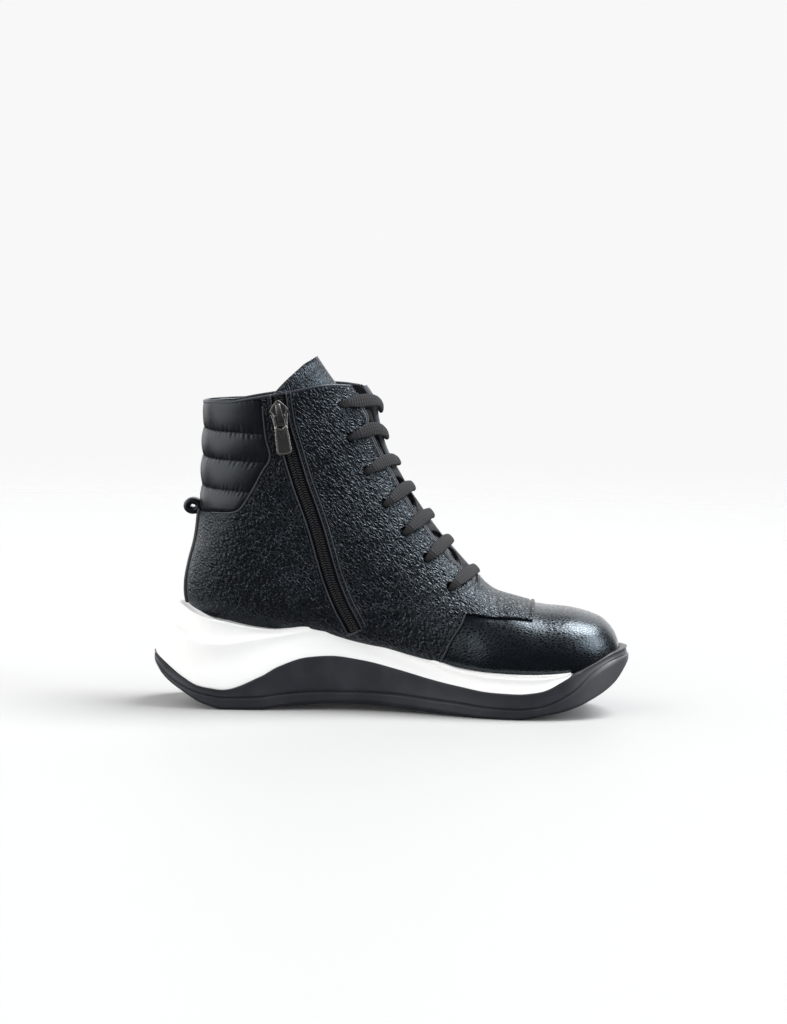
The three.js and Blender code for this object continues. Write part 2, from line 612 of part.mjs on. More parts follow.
function tongueSolid() {
  const rows = tonguePath.x.length - 1;
  const rings = [];
  for (let v = 0; v <= rows; v++) {
    const s = Math.min(v, rows);
    const centre = sidePoint([tongueCurve.x(s), tongueCurve.z(s)]);
    const before = sidePoint([tongueCurve.x(Math.max(s - 0.3, 0)), tongueCurve.z(Math.max(s - 0.3, 0))]);
    const after = sidePoint([tongueCurve.x(Math.min(s + 0.3, rows)), tongueCurve.z(Math.min(s + 0.3, rows))]);
    const run = Math.hypot(after[0] - before[0], after[1] - before[1]);
    const back = [-(after[1] - before[1]) / run, (after[0] - before[0]) / run];
    const half = tongueCurve.half(s) * ballWidth * 0.5;
    const depth = tongueCurve.depth(s) * ballWidth * 0.5;
    const steps = 8;
    const skin = (inner) => Array.from({ length: steps + 1 }, (_, k) => {
      const a = -1 + (2 * k) / steps;
      const thick = inner * tongueThickness * (0.35 + 0.65 * Math.sqrt(Math.max(1 - a * a, 0)));
      const angle = a * tongueTurn;
      const sag = (depth * (1 - Math.cos(angle))) / (1 - Math.cos(tongueTurn));
      const reach = sag + thick * Math.max(Math.cos(angle), 0.3);
      const y = (half * Math.sin(angle)) / Math.sin(tongueTurn) - inner * Math.sin(angle) * tongueThickness * 0.6;
      return [centre[0] + back[0] * reach, y, centre[1] + back[1] * reach];
    });
    rings.push([...skin(0), ...skin(1).reverse()]);
  }
  const besideTape = form(0).subtract(form(-linerDepth - zip.tapeThickness - gap))
    .intersect(medialBand(zip.tapeWidth, 2 * gap));
  return largest(loft(rings).intersect(form(-linerDepth)).subtract(besideTape));
}

// Overlays
const rollFoot = 0.15;       // a roll's height at its quilted line
function padSolid() {
  const rolls = (s, turn) => {
    const z = lastPoint(s, turn)[2];
    const lines = [1.5, ...quiltLines, 2.012].map(level);
    const k = lines.findIndex((line) => line > z);
    if (k < 1) return rollFoot;
    const share = (z - lines[k - 1]) / (lines[k] - lines[k - 1]);
    return rollFoot + padRoll * Math.sqrt(Math.sin(Math.PI * share));
  };
  const inset = padOutline.map(sidePoint).map(([x, z]) => [x - gap * 1.5, z + (z < level(1.6) ? gap * 1.2 : 0)]);
  return largest(form(rolls, padSections).subtract(form(-padDepth + gap)).intersect(sideProfile(inset))
    .subtract(aboveLine(collarLine, -rollFoot)));
}

function stripSolid() {
  const band = new THREE.BoxGeometry(length * 0.2, stripWidth, level(1.502) - level(1.0));
  band.translate(alongX(0), 0, (level(1.502) + level(1.0)) / 2);
  return largest(form(stripThickness).subtract(form(gap)).intersect(toSolid(band)).subtract(soleBlock(lip + gap)));
}

function tabSolid() {
  const [from, to] = [alongX(0.655), alongX(0.796)];
  const band = new THREE.BoxGeometry(to - from, tabWidth, level(0.6));
  band.translate((from + to) / 2, section(7).highShift, level(1.2));
  const seam = quarterSeam.map(sidePoint).map(([x, z]) => [x + gap * 1.3, z]);
  const behind = sideProfile([...seam, [alongX(-0.1), seam[seam.length - 1][1]], [alongX(-0.1), level(-0.1)],
    [seam[0][0], level(-0.1)]]);
  return largest(form(tabThickness - overlap).subtract(form(gap - overlap)).intersect(toSolid(band))
    .subtract(behind).subtract(throatCut()));
}

function loopSolid() {
  const back = section(23.2).low;
  const outer = new THREE.Shape();
  outer.absellipse(0, 0, loop.depth / 2, loop.height / 2, 0, Math.PI * 2);
  const hole = new THREE.Path();
  hole.absellipse(-loop.wall * 0.2, 0, loop.depth / 2 - loop.wall, loop.height / 2 - loop.wall, 0, Math.PI * 2);
  outer.holes.push(hole);
  const ring = new THREE.ExtrudeGeometry(outer, { depth: loop.width, bevelEnabled: false, curveSegments: 10 });
  ring.rotateX(Math.PI / 2);
  ring.translate(back[0] - loop.depth / 2 + loop.wall * 0.6, loop.width / 2, level(1.553));
  return largest(toSolid(ring).subtract(form(padRoll + rollFoot + gap)).subtract(form(stripThickness + gap)));
}

// Laces: seven level bars, with the runs that cross between them in the throat
function ribbonAlong(points, normals, width, thickness) {
  return loft(points.map((point, k) => {
    const before = points[Math.max(k - 1, 0)];
    const after = points[Math.min(k + 1, points.length - 1)];
    const along = after.clone().sub(before).normalize();
    const across = along.clone().cross(normals[k]).normalize().multiplyScalar(width / 2);
    const up = normals[k].clone().multiplyScalar(thickness);
    return [point.clone().sub(across), point.clone().add(across), point.clone().add(across).add(up),
      point.clone().sub(across).add(up)].map((v) => v.toArray());
  }));
}

function laceSolid() {
  const steps = 8;
  const barPoint = (k, a, offset) => {
    const hole = findOnSide(sidePoint(eyelets[k]), -1);
    const top = findOnSide(sidePoint(barTops[k]), -1);
    const share = Math.abs(a);
    const s = top.s + (hole.s - top.s) * share;
    const turn = hole.turn * a * -1;
    return { point: new THREE.Vector3(...offsetPoint(s, turn, offset)), normal: lastNormal(s, turn) };
  };
  let solid = null;
  const join = (part) => {
    solid = solid ? solid.add(part) : part;
  };
  eyelets.forEach((_, k) => {
    const stations = Array.from({ length: steps + 1 }, (__, j) => barPoint(k, -1 + (2 * j) / steps, lace.lift));
    join(ribbonAlong(stations.map((p) => p.point), stations.map((p) => p.normal), lace.width, lace.thickness));
    if (k + 1 < eyelets.length) {
      const reach = 0.45;
      const side = k % 2 ? 1 : -1;
      const cross = Array.from({ length: 4 }, (__, j) => {
        const share = j / 3;
        const a = barPoint(k, side * reach * (1 - 2 * share), lace.lift - lace.thickness * 0.7);
        const b = barPoint(k + 1, side * reach * (1 - 2 * share), lace.lift - lace.thickness * 0.7);
        return { point: a.point.lerp(b.point, share), normal: a.normal.lerp(b.normal, share).normalize() };
      });
      const run = ribbonAlong(cross.map((p) => p.point), cross.map((p) => p.normal), lace.width * 0.8, lace.thickness);
      join(run.intersect(throatCut(gap * 1.4)));
    }
  });
  return largest(solid);
}

// Zip
function tapeSolid() {
  const line = zipLine.slice(0, -1);
  return largest(form(-linerDepth).subtract(form(-linerDepth - zip.tapeThickness))
    .intersect(medialBand(zip.tapeWidth, 0, line)).subtract(aboveLine(collarLine, -gap))
    .subtract(underfoot(-heelWidth / 2, -wall, wall + 2 * gap + insoleThickness)));
}

function teethSolid() {
  const line = zipLine.slice(0, -1);
  return largest(form(-wall + zip.teethThickness).subtract(form(-wall))
    .intersect(medialBand(zip.teethWidth + 2 * gap, -gap, line)).subtract(aboveLine(collarLine, -gap)));
}

const sliderPlace = findOnSide(sidePoint([0.2645, 1.957]), -1);
const zipDirection = new THREE.Vector3(alongX(0.261) - alongX(0.271), 0, level(2.043) - level(1.914)).normalize();
const hingeHeight = slider.lift + slider.plate + pull.clearance;
const onZip = (geometry) => placeOn(geometry, sliderPlace.s, sliderPlace.turn, 0, zipDirection);

function sliderSolid() {
  const [w, l] = [slider.width / 2, slider.length / 2];
  const plate = new THREE.Shape();
  plate.moveTo(-w * 0.62, -l);
  plate.lineTo(w * 0.62, -l);
  plate.quadraticCurveTo(w * 0.78, -l * 0.2, w, l * 0.35);
  plate.quadraticCurveTo(w, l, w * 0.35, l);
  plate.lineTo(-w * 0.35, l);
  plate.quadraticCurveTo(-w, l, -w, l * 0.35);
  plate.quadraticCurveTo(-w * 0.78, -l * 0.2, -w * 0.62, -l);
  const top = new THREE.ExtrudeGeometry(plate, { depth: slider.plate, bevelEnabled: false, curveSegments: 4 });
  top.translate(0, 0, slider.lift);
  const height = slider.bridgeHeight + slider.wire;
  const root = -slider.plate / 2;
  const bridge = new THREE.Shape([
    [-0.62, root], [-0.5, height], [0.35, height], [0.62, root],
    [0.36, root], [0.2, slider.bridgeHeight], [-0.34, slider.bridgeHeight], [-0.4, root],
  ].map(([along, up]) => new THREE.Vector2(along * l, up)));
  const upright = new THREE.Matrix4().makeBasis(
    new THREE.Vector3(0, 1, 0), new THREE.Vector3(0, 0, 1), new THREE.Vector3(1, 0, 0));
  const archGeometry = new THREE.ExtrudeGeometry(bridge, { depth: slider.bridge, bevelEnabled: false })
    .translate(0, 0, -slider.bridge / 2).applyMatrix4(upright)
    .translate(0, 0, slider.lift + slider.plate);
  const stemRise = slider.lift + slider.plate / 3;
  const stem = new THREE.BoxGeometry(slider.bridge, slider.length * 0.7, stemRise);
  stem.translate(0, 0, stemRise / 2 - slider.plate / 16);
  return toSolid(onZip(top)).add(toSolid(onZip(archGeometry))).add(toSolid(onZip(stem)));
}

function pullSolid() {
  const axisY = -slider.length * 0.03;
  const t = pull.thickness;
  const [top, wide] = [pull.topWidth / 2, pull.width / 2];
  const shape = new THREE.Shape();
  shape.moveTo(-top, 0);
  shape.lineTo(-wide, -pull.length * 0.75);
  shape.quadraticCurveTo(-wide, -pull.length, -wide * 0.4, -pull.length);
  shape.lineTo(wide * 0.4, -pull.length);
  shape.quadraticCurveTo(wide, -pull.length, wide, -pull.length * 0.75);
  shape.lineTo(top, 0);
  const eye = new THREE.Path();
  const inner = slider.bridge / 2 + 1.6 * gap;
  eye.moveTo(-inner, -pull.wire / 2);
  eye.lineTo(inner, -pull.wire / 2);
  eye.lineTo(inner + gap, -slider.length * 0.42);
  eye.lineTo(-inner - gap, -slider.length * 0.42);
  shape.holes.push(eye);
  const plate = new THREE.ExtrudeGeometry(shape, { depth: t, bevelEnabled: false, curveSegments: 4 });
  plate.translate(0, axisY, hingeHeight - t / 2);
  const rod = new THREE.CylinderGeometry(t / 2 / Math.cos(Math.PI / 8), t / 2 / Math.cos(Math.PI / 8), pull.topWidth, 8);
  rod.rotateY(Math.PI / 8);
  rod.rotateZ(Math.PI / 2);
  rod.translate(0, axisY, hingeHeight);
  return toSolid(onZip(plate)).add(toSolid(onZip(rod)));
}

// Finish of each piece
const finish = (color, roughness, metalness = 0) => new THREE.MeshStandardMaterial({ color, roughness, metalness });
const finishes = {
  leather: finish(0x17171b, 0.42),
  smooth: finish(0x1b1b20, 0.32),
  white: finish(0xdedcd8, 0.55),
  rubber: finish(0x2d2e33, 0.7),
  lace: finish(0x24242a, 0.85),
  tape: finish(0x1a1a1f, 0.8),
  metal: finish(0x77726c, 0.32, 0.9),
  lining: finish(0x2a2a2e, 0.9),
};

const shoe = new THREE.Group();
shoe.name = "ankle_boot";
function add(name, solid, material) {
  const mesh = new THREE.Mesh(toGeometry(solid), material);
  mesh.name = name;
  shoe.add(mesh);
}

add("outsole", outsoleSolid(), finishes.rubber);
add("midsole", midsoleSolid(), finishes.white);
add("upper", upperSolid(), finishes.leather);
add("insole", insoleSolid(), finishes.lining);
add("tongue", tongueSolid(), finishes.leather);
add("collar_pad", padSolid(), finishes.smooth);
add("heel_strip", stripSolid(), finishes.smooth);
add("toe_tab", tabSolid(), finishes.leather);
add("pull_loop", loopSolid(), finishes.smooth);
add("laces", laceSolid(), finishes.lace);
add("zip_tape", tapeSolid(), finishes.tape);
add("zip_teeth", teethSolid(), finishes.tape);
add("zip_slider", sliderSolid(), finishes.metal);
add("zip_pull", pullSolid(), finishes.metal);

export default shoe;
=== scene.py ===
# %% [markdown]
# # A left ankle boot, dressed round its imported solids
# The solids come first: they stand for what the boot weighs and touches. This script builds the
# leather, foam, rubber, laces and zip that are seen, in the same frame and in metres.

import math

import bmesh
import bpy
import numpy as np
from mathutils import Matrix, Vector


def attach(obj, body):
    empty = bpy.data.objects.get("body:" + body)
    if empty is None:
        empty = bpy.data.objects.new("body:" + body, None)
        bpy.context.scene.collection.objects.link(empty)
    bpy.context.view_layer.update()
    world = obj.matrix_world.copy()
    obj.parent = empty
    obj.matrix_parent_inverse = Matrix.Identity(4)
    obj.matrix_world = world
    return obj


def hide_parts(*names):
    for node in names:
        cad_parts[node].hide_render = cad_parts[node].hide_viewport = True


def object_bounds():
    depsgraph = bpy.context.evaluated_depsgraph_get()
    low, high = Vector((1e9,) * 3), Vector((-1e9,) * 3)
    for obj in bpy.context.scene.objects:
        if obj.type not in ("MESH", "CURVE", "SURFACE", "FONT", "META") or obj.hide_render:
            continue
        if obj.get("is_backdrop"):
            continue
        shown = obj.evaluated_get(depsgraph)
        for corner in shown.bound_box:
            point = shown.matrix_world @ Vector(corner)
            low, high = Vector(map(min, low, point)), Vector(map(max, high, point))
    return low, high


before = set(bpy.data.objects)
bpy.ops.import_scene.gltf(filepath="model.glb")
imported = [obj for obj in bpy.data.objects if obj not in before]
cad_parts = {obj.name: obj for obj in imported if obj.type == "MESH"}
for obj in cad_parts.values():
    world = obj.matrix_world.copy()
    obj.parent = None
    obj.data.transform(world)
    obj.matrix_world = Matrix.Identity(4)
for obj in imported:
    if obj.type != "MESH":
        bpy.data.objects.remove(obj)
cad_low, cad_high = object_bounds()
print("solids:", sorted(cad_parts))

# %% [markdown]
# The camera looks at the boot's inner side, a little from above, as a catalogue does. Its place is
# an angle round the boot and an angle up, so it can be read and changed. The picture leans by about
# one degree, which is a turn of the camera round its own axis.

# %% Camera
MM = 0.001
LOOK_AT = Vector((0, 0, 0.1145))
CAMERA_DISTANCE = 1.7
AZIMUTH, ELEVATION, ROLL = 2.0, 4.7, math.radians(1.1)


def direction(azimuth, elevation):
    """The way from the boot to something far off, by its angles in degrees. Azimuth 0 is the boot's
    inner side, and turns towards the toe."""
    azimuth, elevation = math.radians(azimuth), math.radians(elevation)
    return Vector((math.sin(azimuth) * math.cos(elevation), -math.cos(azimuth) * math.cos(elevation),
                   math.sin(elevation)))


toward = direction(AZIMUTH, ELEVATION)
level_right = Vector((0, 0, 1)).cross(toward).normalized()
level_up = toward.cross(level_right)
right = level_right * math.cos(ROLL) + level_up * math.sin(ROLL)
up = level_up * math.cos(ROLL) - level_right * math.sin(ROLL)
lens = bpy.data.cameras.new("camera")
lens.lens = 101.4
lens.sensor_width = 36
lens.clip_end = 50
camera = bpy.data.objects.new("camera", lens)
camera.matrix_world = Matrix.Translation(LOOK_AT + toward * CAMERA_DISTANCE) @ Matrix(
    (right, up, toward)).transposed().to_4x4()
bpy.context.scene.collection.objects.link(camera)
bpy.context.scene.camera = camera
print("camera at", [round(v, 3) for v in camera.matrix_world.translation])

# %% [markdown]
# A shoemaker starts from a last. Here it is a fan of sections that turns from upright at the toe,
# round the heel, to nearly level at the collar. Each table row is one section, as shares of a few
# real sizes, and two smooth curves read the tables: one that passes evenly spaced rows, and one
# that never swings past its points.

# %% Sizes and curves through tables
LENGTH, BALL_WIDTH, HEEL_WIDTH = 280 * MM, 95 * MM, 62 * MM
SOLE_MARGIN, HEEL_FLARE = 3.5 * MM, 6.5 * MM
HEEL_SEAT, COLLAR_HEIGHT = 39 * MM, 178 * MM
OVERLAP, WALL = 0.9 * MM, 2.6 * MM


def along_x(share):
    """A share of the boot's length, measured from its middle."""
    return (np.asarray(share, float) - 0.5) * LENGTH


def level(h):
    """A height: 0 is the floor, 1 the heel seat and 2 the collar at the back."""
    h = np.asarray(h, float)
    return np.where(h <= 1, h * HEEL_SEAT, HEEL_SEAT + (h - 1) * (COLLAR_HEIGHT - HEEL_SEAT))


def columns(names, rows):
    """A table whose rows are listed, as one array for each named column."""
    return dict(zip(names, np.array(rows, float).T))


def rounded(values):
    """Smooth curve through equally spaced values: each stretch is a cubic whose slope at a value
    is half the step between its two neighbours."""
    values = np.asarray(values, float)
    last = len(values) - 1
    near = np.concatenate([[2 * values[0] - values[1]], values, [2 * values[-1] - values[-2]]])

    def curve(s):
        s = np.asarray(s, float)
        k = np.clip(np.floor(s).astype(int), 0, last - 1)
        t = s - k
        p0, p1, p2, p3 = (near[k + j] for j in range(4))
        return p1 + 0.5 * t * (p2 - p0 + t * (2 * p0 - 5 * p1 + 4 * p2 - p3 + t * (3 * (p1 - p2) + p3 - p0)))
    return curve


def monotone(xs, ys):
    """Piecewise cubic that never overshoots: the slope at a point is the harmonic mean of the
    slopes beside it, or nought at a turning point."""
    xs, ys = np.asarray(xs, float), np.asarray(ys, float)
    step = np.diff(xs)
    slope = np.diff(ys) / step
    before, after = slope[:-1], slope[1:]
    same = before * after > 0
    inner = np.where(same, 2 * before * after / np.where(same, before + after, 1), 0)
    tangent = np.concatenate([slope[:1], inner, slope[-1:]])

    def curve(x):
        x = np.clip(x, xs[0], xs[-1])
        k = np.clip(np.searchsorted(xs, x, side="right") - 1, 0, len(xs) - 2)
        h, t = step[k], (x - xs[k]) / step[k]
        return ((2 * t**3 - 3 * t**2 + 1) * ys[k] + (t**3 - 2 * t**2 + t) * h * tangent[k]
                + (3 * t**2 - 2 * t**3) * ys[k + 1] + (t**3 - t**2) * h * tangent[k + 1])
    return curve


def ease(x, start=0.0, end=1.0):
    """0 before start, 1 after end, and an even S between them."""
    t = np.clip((np.asarray(x, float) - start) / (end - start), 0, 1)
    return t * t * (3 - 2 * t)


def dome(distance, radius):
    """Rises from 0 at an edge to 1 a radius away, as a quarter of a circle does."""
    t = np.clip(1 - np.asarray(distance, float) / radius, 0, 1)
    return np.sqrt(np.maximum(1 - t * t, 0))


print("collar at the back, mm:", round(float(level(2)) / MM, 1))

# %% The last
LAST = columns(
    ["lowX", "lowZ", "highX", "highZ", "half", "zone", "lowShift", "highShift", "widest", "low", "high"], [
        [0.989, 0.850, 0.989, 0.850, 0.00, 0, -0.11, -0.11, 0.42, 2.4, 2.2],
        [0.980, 0.730, 0.981, 1.020, 0.29, 0, -0.11, -0.11, 0.42, 2.4, 2.2],
        [0.967, 0.640, 0.969, 1.074, 0.46, 0, -0.10, -0.10, 0.40, 2.5, 2.2],
        [0.947, 0.570, 0.947, 1.119, 0.62, 0, -0.09, -0.10, 0.38, 2.6, 2.2],
        [0.920, 0.520, 0.920, 1.143, 0.75, 0, -0.08, -0.09, 0.36, 2.7, 2.3],
        [0.877, 0.480, 0.875, 1.164, 0.87, 0, -0.06, -0.08, 0.34, 2.8, 2.3],
        [0.821, 0.460, 0.816, 1.174, 0.96, 0, -0.03, -0.07, 0.32, 2.9, 2.2],
        [0.764, 0.460, 0.761, 1.199, 1.00, 0, 0.01, -0.06, 0.31, 3.0, 2.1],
        [0.707, 0.470, 0.711, 1.233, 0.985, 0, 0.03, -0.05, 0.30, 3.0, 1.95],
        [0.650, 0.520, 0.671, 1.309, 0.92, 0, 0.055, -0.04, 0.28, 3.0, 1.85],
        [0.593, 0.590, 0.636, 1.388, 0.845, 0, 0.07, -0.04, 0.27, 3.0, 1.85],
        [0.532, 0.690, 0.600, 1.471, 0.775, 0, 0.08, -0.03, 0.26, 3.0, 1.9],
        [0.468, 0.800, 0.568, 1.558, 0.722, 0, 0.08, -0.03, 0.26, 3.0, 1.95],
        [0.400, 0.900, 0.537, 1.644, 1.055, 1, 0.06, -0.02, 0.28, 2.9, 2.05],
        [0.329, 0.970, 0.511, 1.730, 1.035, 1, 0.04, -0.02, 0.30, 2.8, 2.15],
        [0.254, 0.990, 0.486, 1.817, 1.03, 1, 0.02, -0.01, 0.33, 2.7, 2.25],
        [0.182, 1.007, 0.474, 1.892, 1.025, 1, 0.01, -0.01, 0.36, 2.6, 2.3],
        [0.125, 1.032, 0.466, 1.957, 1.02, 1, 0.005, 0, 0.38, 2.5, 2.35],
        [0.086, 1.079, 0.464, 2.004, 1.01, 1, 0, 0, 0.40, 2.4, 2.4],
        [0.069, 1.151, 0.457, 2.032, 1.005, 1, 0, 0, 0.42, 2.35, 2.4],
        [0.066, 1.230, 0.450, 2.054, 1.00, 1, 0, 0, 0.43, 2.3, 2.4],
        [0.073, 1.317, 0.442, 2.076, 0.995, 1, 0, 0, 0.44, 2.3, 2.4],
        [0.085, 1.417, 0.434, 2.094, 0.985, 1, 0, 0, 0.45, 2.3, 2.4],
        [0.091, 1.525, 0.426, 2.108, 0.985, 1, 0, 0, 0.46, 2.3, 2.4],
        [0.093, 1.640, 0.419, 2.122, 0.99, 1, 0, 0, 0.47, 2.3, 2.4],
        [0.094, 1.763, 0.411, 2.137, 1.00, 1, 0, 0, 0.48, 2.3, 2.4],
        [0.095, 1.885, 0.405, 2.151, 1.005, 1, 0, 0, 0.48, 2.3, 2.4],
        [0.096, 2.000, 0.400, 2.165, 1.015, 1, 0, 0, 0.48, 2.3, 2.4],
        [0.095, 2.144, 0.393, 2.240, 1.015, 1, 0, 0, 0.48, 2.3, 2.4],
        [0.093, 2.290, 0.386, 2.340, 1.015, 1, 0, 0, 0.48, 2.3, 2.4],
    ])
LAST_END = len(LAST["lowX"]) - 1
row_half = np.where(LAST["zone"] > 0.5, HEEL_WIDTH, BALL_WIDTH) / 2
last_curve = {name: rounded(values) for name, values in {
    "lowX": along_x(LAST["lowX"]), "lowZ": level(LAST["lowZ"]),
    "highX": along_x(LAST["highX"]), "highZ": level(LAST["highZ"]),
    "half": LAST["half"] * row_half, "lowShift": LAST["lowShift"] * row_half,
    "highShift": LAST["highShift"] * row_half,
    "widest": LAST["widest"], "low": LAST["low"], "high": LAST["high"]}.items()}


def wrapped(turn):
    """A turn brought back between -1 and 1."""
    return (np.asarray(turn, float) + 1) % 2 - 1


def last_point(s, turn):
    """A place on the boot's outside. Section s runs from its low to its high end. turn goes round
    it, from 0 at the high end to 1 or -1 at the low end, minus on the inner side. Each half of the
    section is a superellipse: |along| to a power plus |across| to that power is 1."""
    s, turn = np.broadcast_arrays(np.asarray(s, float), wrapped(turn))
    row = {name: curve(s) for name, curve in last_curve.items()}
    angle = np.abs(turn) * np.pi
    front = angle < np.pi / 2
    power = np.where(front, row["high"], row["low"])
    c, w = np.abs(np.cos(angle)), np.abs(np.sin(angle))
    radius = (c**power + w**power) ** (-1 / power)
    widest = row["widest"]
    t = np.where(front, widest + (1 - widest) * c * radius, widest * (1 - c * radius))
    y = row["lowShift"] + (row["highShift"] - row["lowShift"]) * t
    y = y + np.sign(turn) * np.maximum(row["half"], 0) * w * radius
    x = row["lowX"] + (row["highX"] - row["lowX"]) * t
    z = row["lowZ"] + (row["highZ"] - row["lowZ"]) * t
    return np.stack([x, y, z], -1)


def unit(v):
    """Vectors divided by their own length."""
    return v / np.maximum(np.linalg.norm(v, axis=-1, keepdims=True), 1e-12)


def last_normal(s, turn, ds=0.06, dt=0.008):
    """Outward direction: the step round the section crossed with the step along the boot."""
    s = np.asarray(s, float)
    along = last_point(np.minimum(s + ds, LAST_END), turn) - last_point(np.maximum(s - ds, 0.001), turn)
    around = last_point(s, turn + dt) - last_point(s, turn - dt)
    return unit(np.cross(around, along))


def offset_point(s, turn, offset):
    """A place on the boot's outside, moved out along its normal."""
    return last_point(s, turn) + last_normal(s, turn) * np.asarray(offset, float)[..., None]


def find_on_side(x, z, side=-1):
    """The section and turn that are seen at x, z from one side, by halving the range of s."""
    x, z = np.broadcast_arrays(np.asarray(x, float), np.asarray(z, float))

    def miss(s):
        low_x, low_z = last_curve["lowX"](s), last_curve["lowZ"](s)
        return ((last_curve["highX"](s) - low_x) * (z - low_z)
                - (last_curve["highZ"](s) - low_z) * (x - low_x))

    s0, s1 = np.full(x.shape, 0.5), np.full(x.shape, float(LAST_END))
    end_sign = np.sign(miss(s1))
    for _ in range(34):
        middle = (s0 + s1) / 2
        beyond = miss(middle) * end_sign > 0
        s1 = np.where(beyond, middle, s1)
        s0 = np.where(beyond, s0, middle)
    row = {name: curve(s0) for name, curve in last_curve.items()}
    span = row["highX"] - row["lowX"], row["highZ"] - row["lowZ"]
    t = ((x - row["lowX"]) * span[0] + (z - row["lowZ"]) * span[1]) / (span[0]**2 + span[1]**2)
    front = t > row["widest"]
    power = np.where(front, row["high"], row["low"])
    reach = np.where(front, (t - row["widest"]) / (1 - row["widest"]), 1 - t / row["widest"])
    reach = np.clip(reach, 0, 1)
    quarter = np.arctan2((1 - reach**power) ** (1 / power), reach)
    return s0, side * np.where(front, quarter, np.pi - quarter) / np.pi


def turn_at_width(s, reach, front=True):
    """How far round section s a line lies that runs a given reach beside its middle."""
    power = last_curve["high" if front else "low"](s)
    side = np.clip(reach / last_curve["half"](s), 0, 0.999)
    angle = np.arctan2(side, (1 - side**power) ** (1 / power))
    return (angle if front else np.pi - angle) / np.pi


print("toe", last_point(0.0, 0.0), "collar back", last_point(27.0, 1.0))

# %% [markdown]
# Everything soft or sheet-like is a shell: an outer grid of points, an inner one, and walls that
# close its free edges. Everything long and thin is a profile carried along a path. Two functions
# make both kinds, so each piece below is only its formula.

# %% Mesh builders
ROOM = bpy.context.scene.collection


def as_piece(name, points, faces, uv=None, sharp=None, weld=True):
    """Puts points and faces into a mesh object at the origin, merges points that coincide, and
    turns the whole mesh inside out if its volume comes out negative."""
    mesh = bpy.data.meshes.new(name)
    mesh.from_pydata(np.asarray(points, float).tolist(), [], [list(map(int, face)) for face in faces])
    if uv is not None:
        layer = mesh.uv_layers.new(name="UVMap")
        corner = np.empty(len(mesh.loops), np.int32)
        mesh.loops.foreach_get("vertex_index", corner)
        layer.data.foreach_set("uv", np.asarray(uv, np.float32)[corner].ravel())
    cage = bmesh.new()
    cage.from_mesh(mesh)
    if weld:
        bmesh.ops.remove_doubles(cage, verts=cage.verts, dist=2e-6)
    if cage.calc_volume(signed=True) < 0:
        bmesh.ops.reverse_faces(cage, faces=cage.faces)
    cage.to_mesh(mesh)
    cage.free()
    mesh.shade_smooth()
    if sharp:
        mesh.set_sharp_from_angle(angle=math.radians(sharp))
    piece = bpy.data.objects.new(name, mesh)
    ROOM.objects.link(piece)
    return piece


def grid_faces(rows, cols, ring=False, start=0):
    """The four-cornered faces of a grid of points, row by row; a ring joins its last column to
    its first."""
    i, j = np.meshgrid(np.arange(rows - 1), np.arange(cols if ring else cols - 1), indexing="ij")
    nxt = (j + 1) % cols
    quads = np.stack([i * cols + j, i * cols + nxt, (i + 1) * cols + nxt, (i + 1) * cols + j], -1)
    return quads.reshape(-1, 4) + start


def fan_ends(rows, cols):
    """A ring-shaped grid whose first and last rings are closed by fans, round two more points that
    follow the grid's own."""
    k = np.arange(cols)
    low, high, top = rows * cols, rows * cols + 1, (rows - 1) * cols
    below = np.stack([np.full(cols, low), (k + 1) % cols, k], -1)
    above = np.stack([np.full(cols, high), top + k, top + (k + 1) % cols], -1)
    return [*grid_faces(rows, cols, ring=True), *below, *above]


def edge_walls(quads, shift):
    """Walls from the free edges of the outer faces down to the inner grid, shift points later."""
    a = quads.ravel()
    b = np.roll(quads, -1, axis=1).ravel()
    size = int(quads.max()) + 1
    free = ~np.isin(a.astype(np.int64) * size + b, b.astype(np.int64) * size + a)
    a, b = a[free], b[free]
    return np.stack([b, a, a + shift, b + shift], -1)


def shell(name, outer, inner, ring=False, uv=None, sharp=None):
    """A closed sheet between two grids of the same shape."""
    rows, cols = outer.shape[:2]
    count = rows * cols
    quads = grid_faces(rows, cols, ring)
    faces = np.concatenate([quads, quads[:, ::-1] + count, edge_walls(quads, count)])
    points = np.concatenate([outer.reshape(-1, 3), inner.reshape(-1, 3)])
    if uv is not None:
        uv = np.concatenate([uv.reshape(-1, 2)] * 2)
    return as_piece(name, points, faces, uv, sharp)


def run_length(points):
    """Distance along a path up to each of its points."""
    return np.concatenate([[0], np.cumsum(np.linalg.norm(np.diff(points, axis=0), axis=1))])


def read_at(marks, done, data):
    """Every column of data read at marks along a path, straight between its points."""
    return np.stack([np.interp(marks, done, column) for column in data.T], -1)


def smoothed(points, places):
    """The smooth curve through points, read at places counted in points from the first."""
    return np.stack([rounded(column)(places) for column in points.T], -1)


def spaced(points, step):
    """The same line with points an even step apart, rounded through its corners."""
    points = np.asarray(points, float)
    fine = smoothed(points, np.linspace(0, len(points) - 1, 40 * len(points)))
    done = run_length(fine)
    return read_at(np.linspace(0, done[-1], max(int(round(done[-1] / step)), 2) + 1), done, fine)


def tangents(path, closed=False):
    """The way a path runs at each point: the step between its two neighbours."""
    if closed:
        return unit(np.roll(path, -1, axis=0) - np.roll(path, 1, axis=0))
    return unit(np.gradient(path, axis=0))


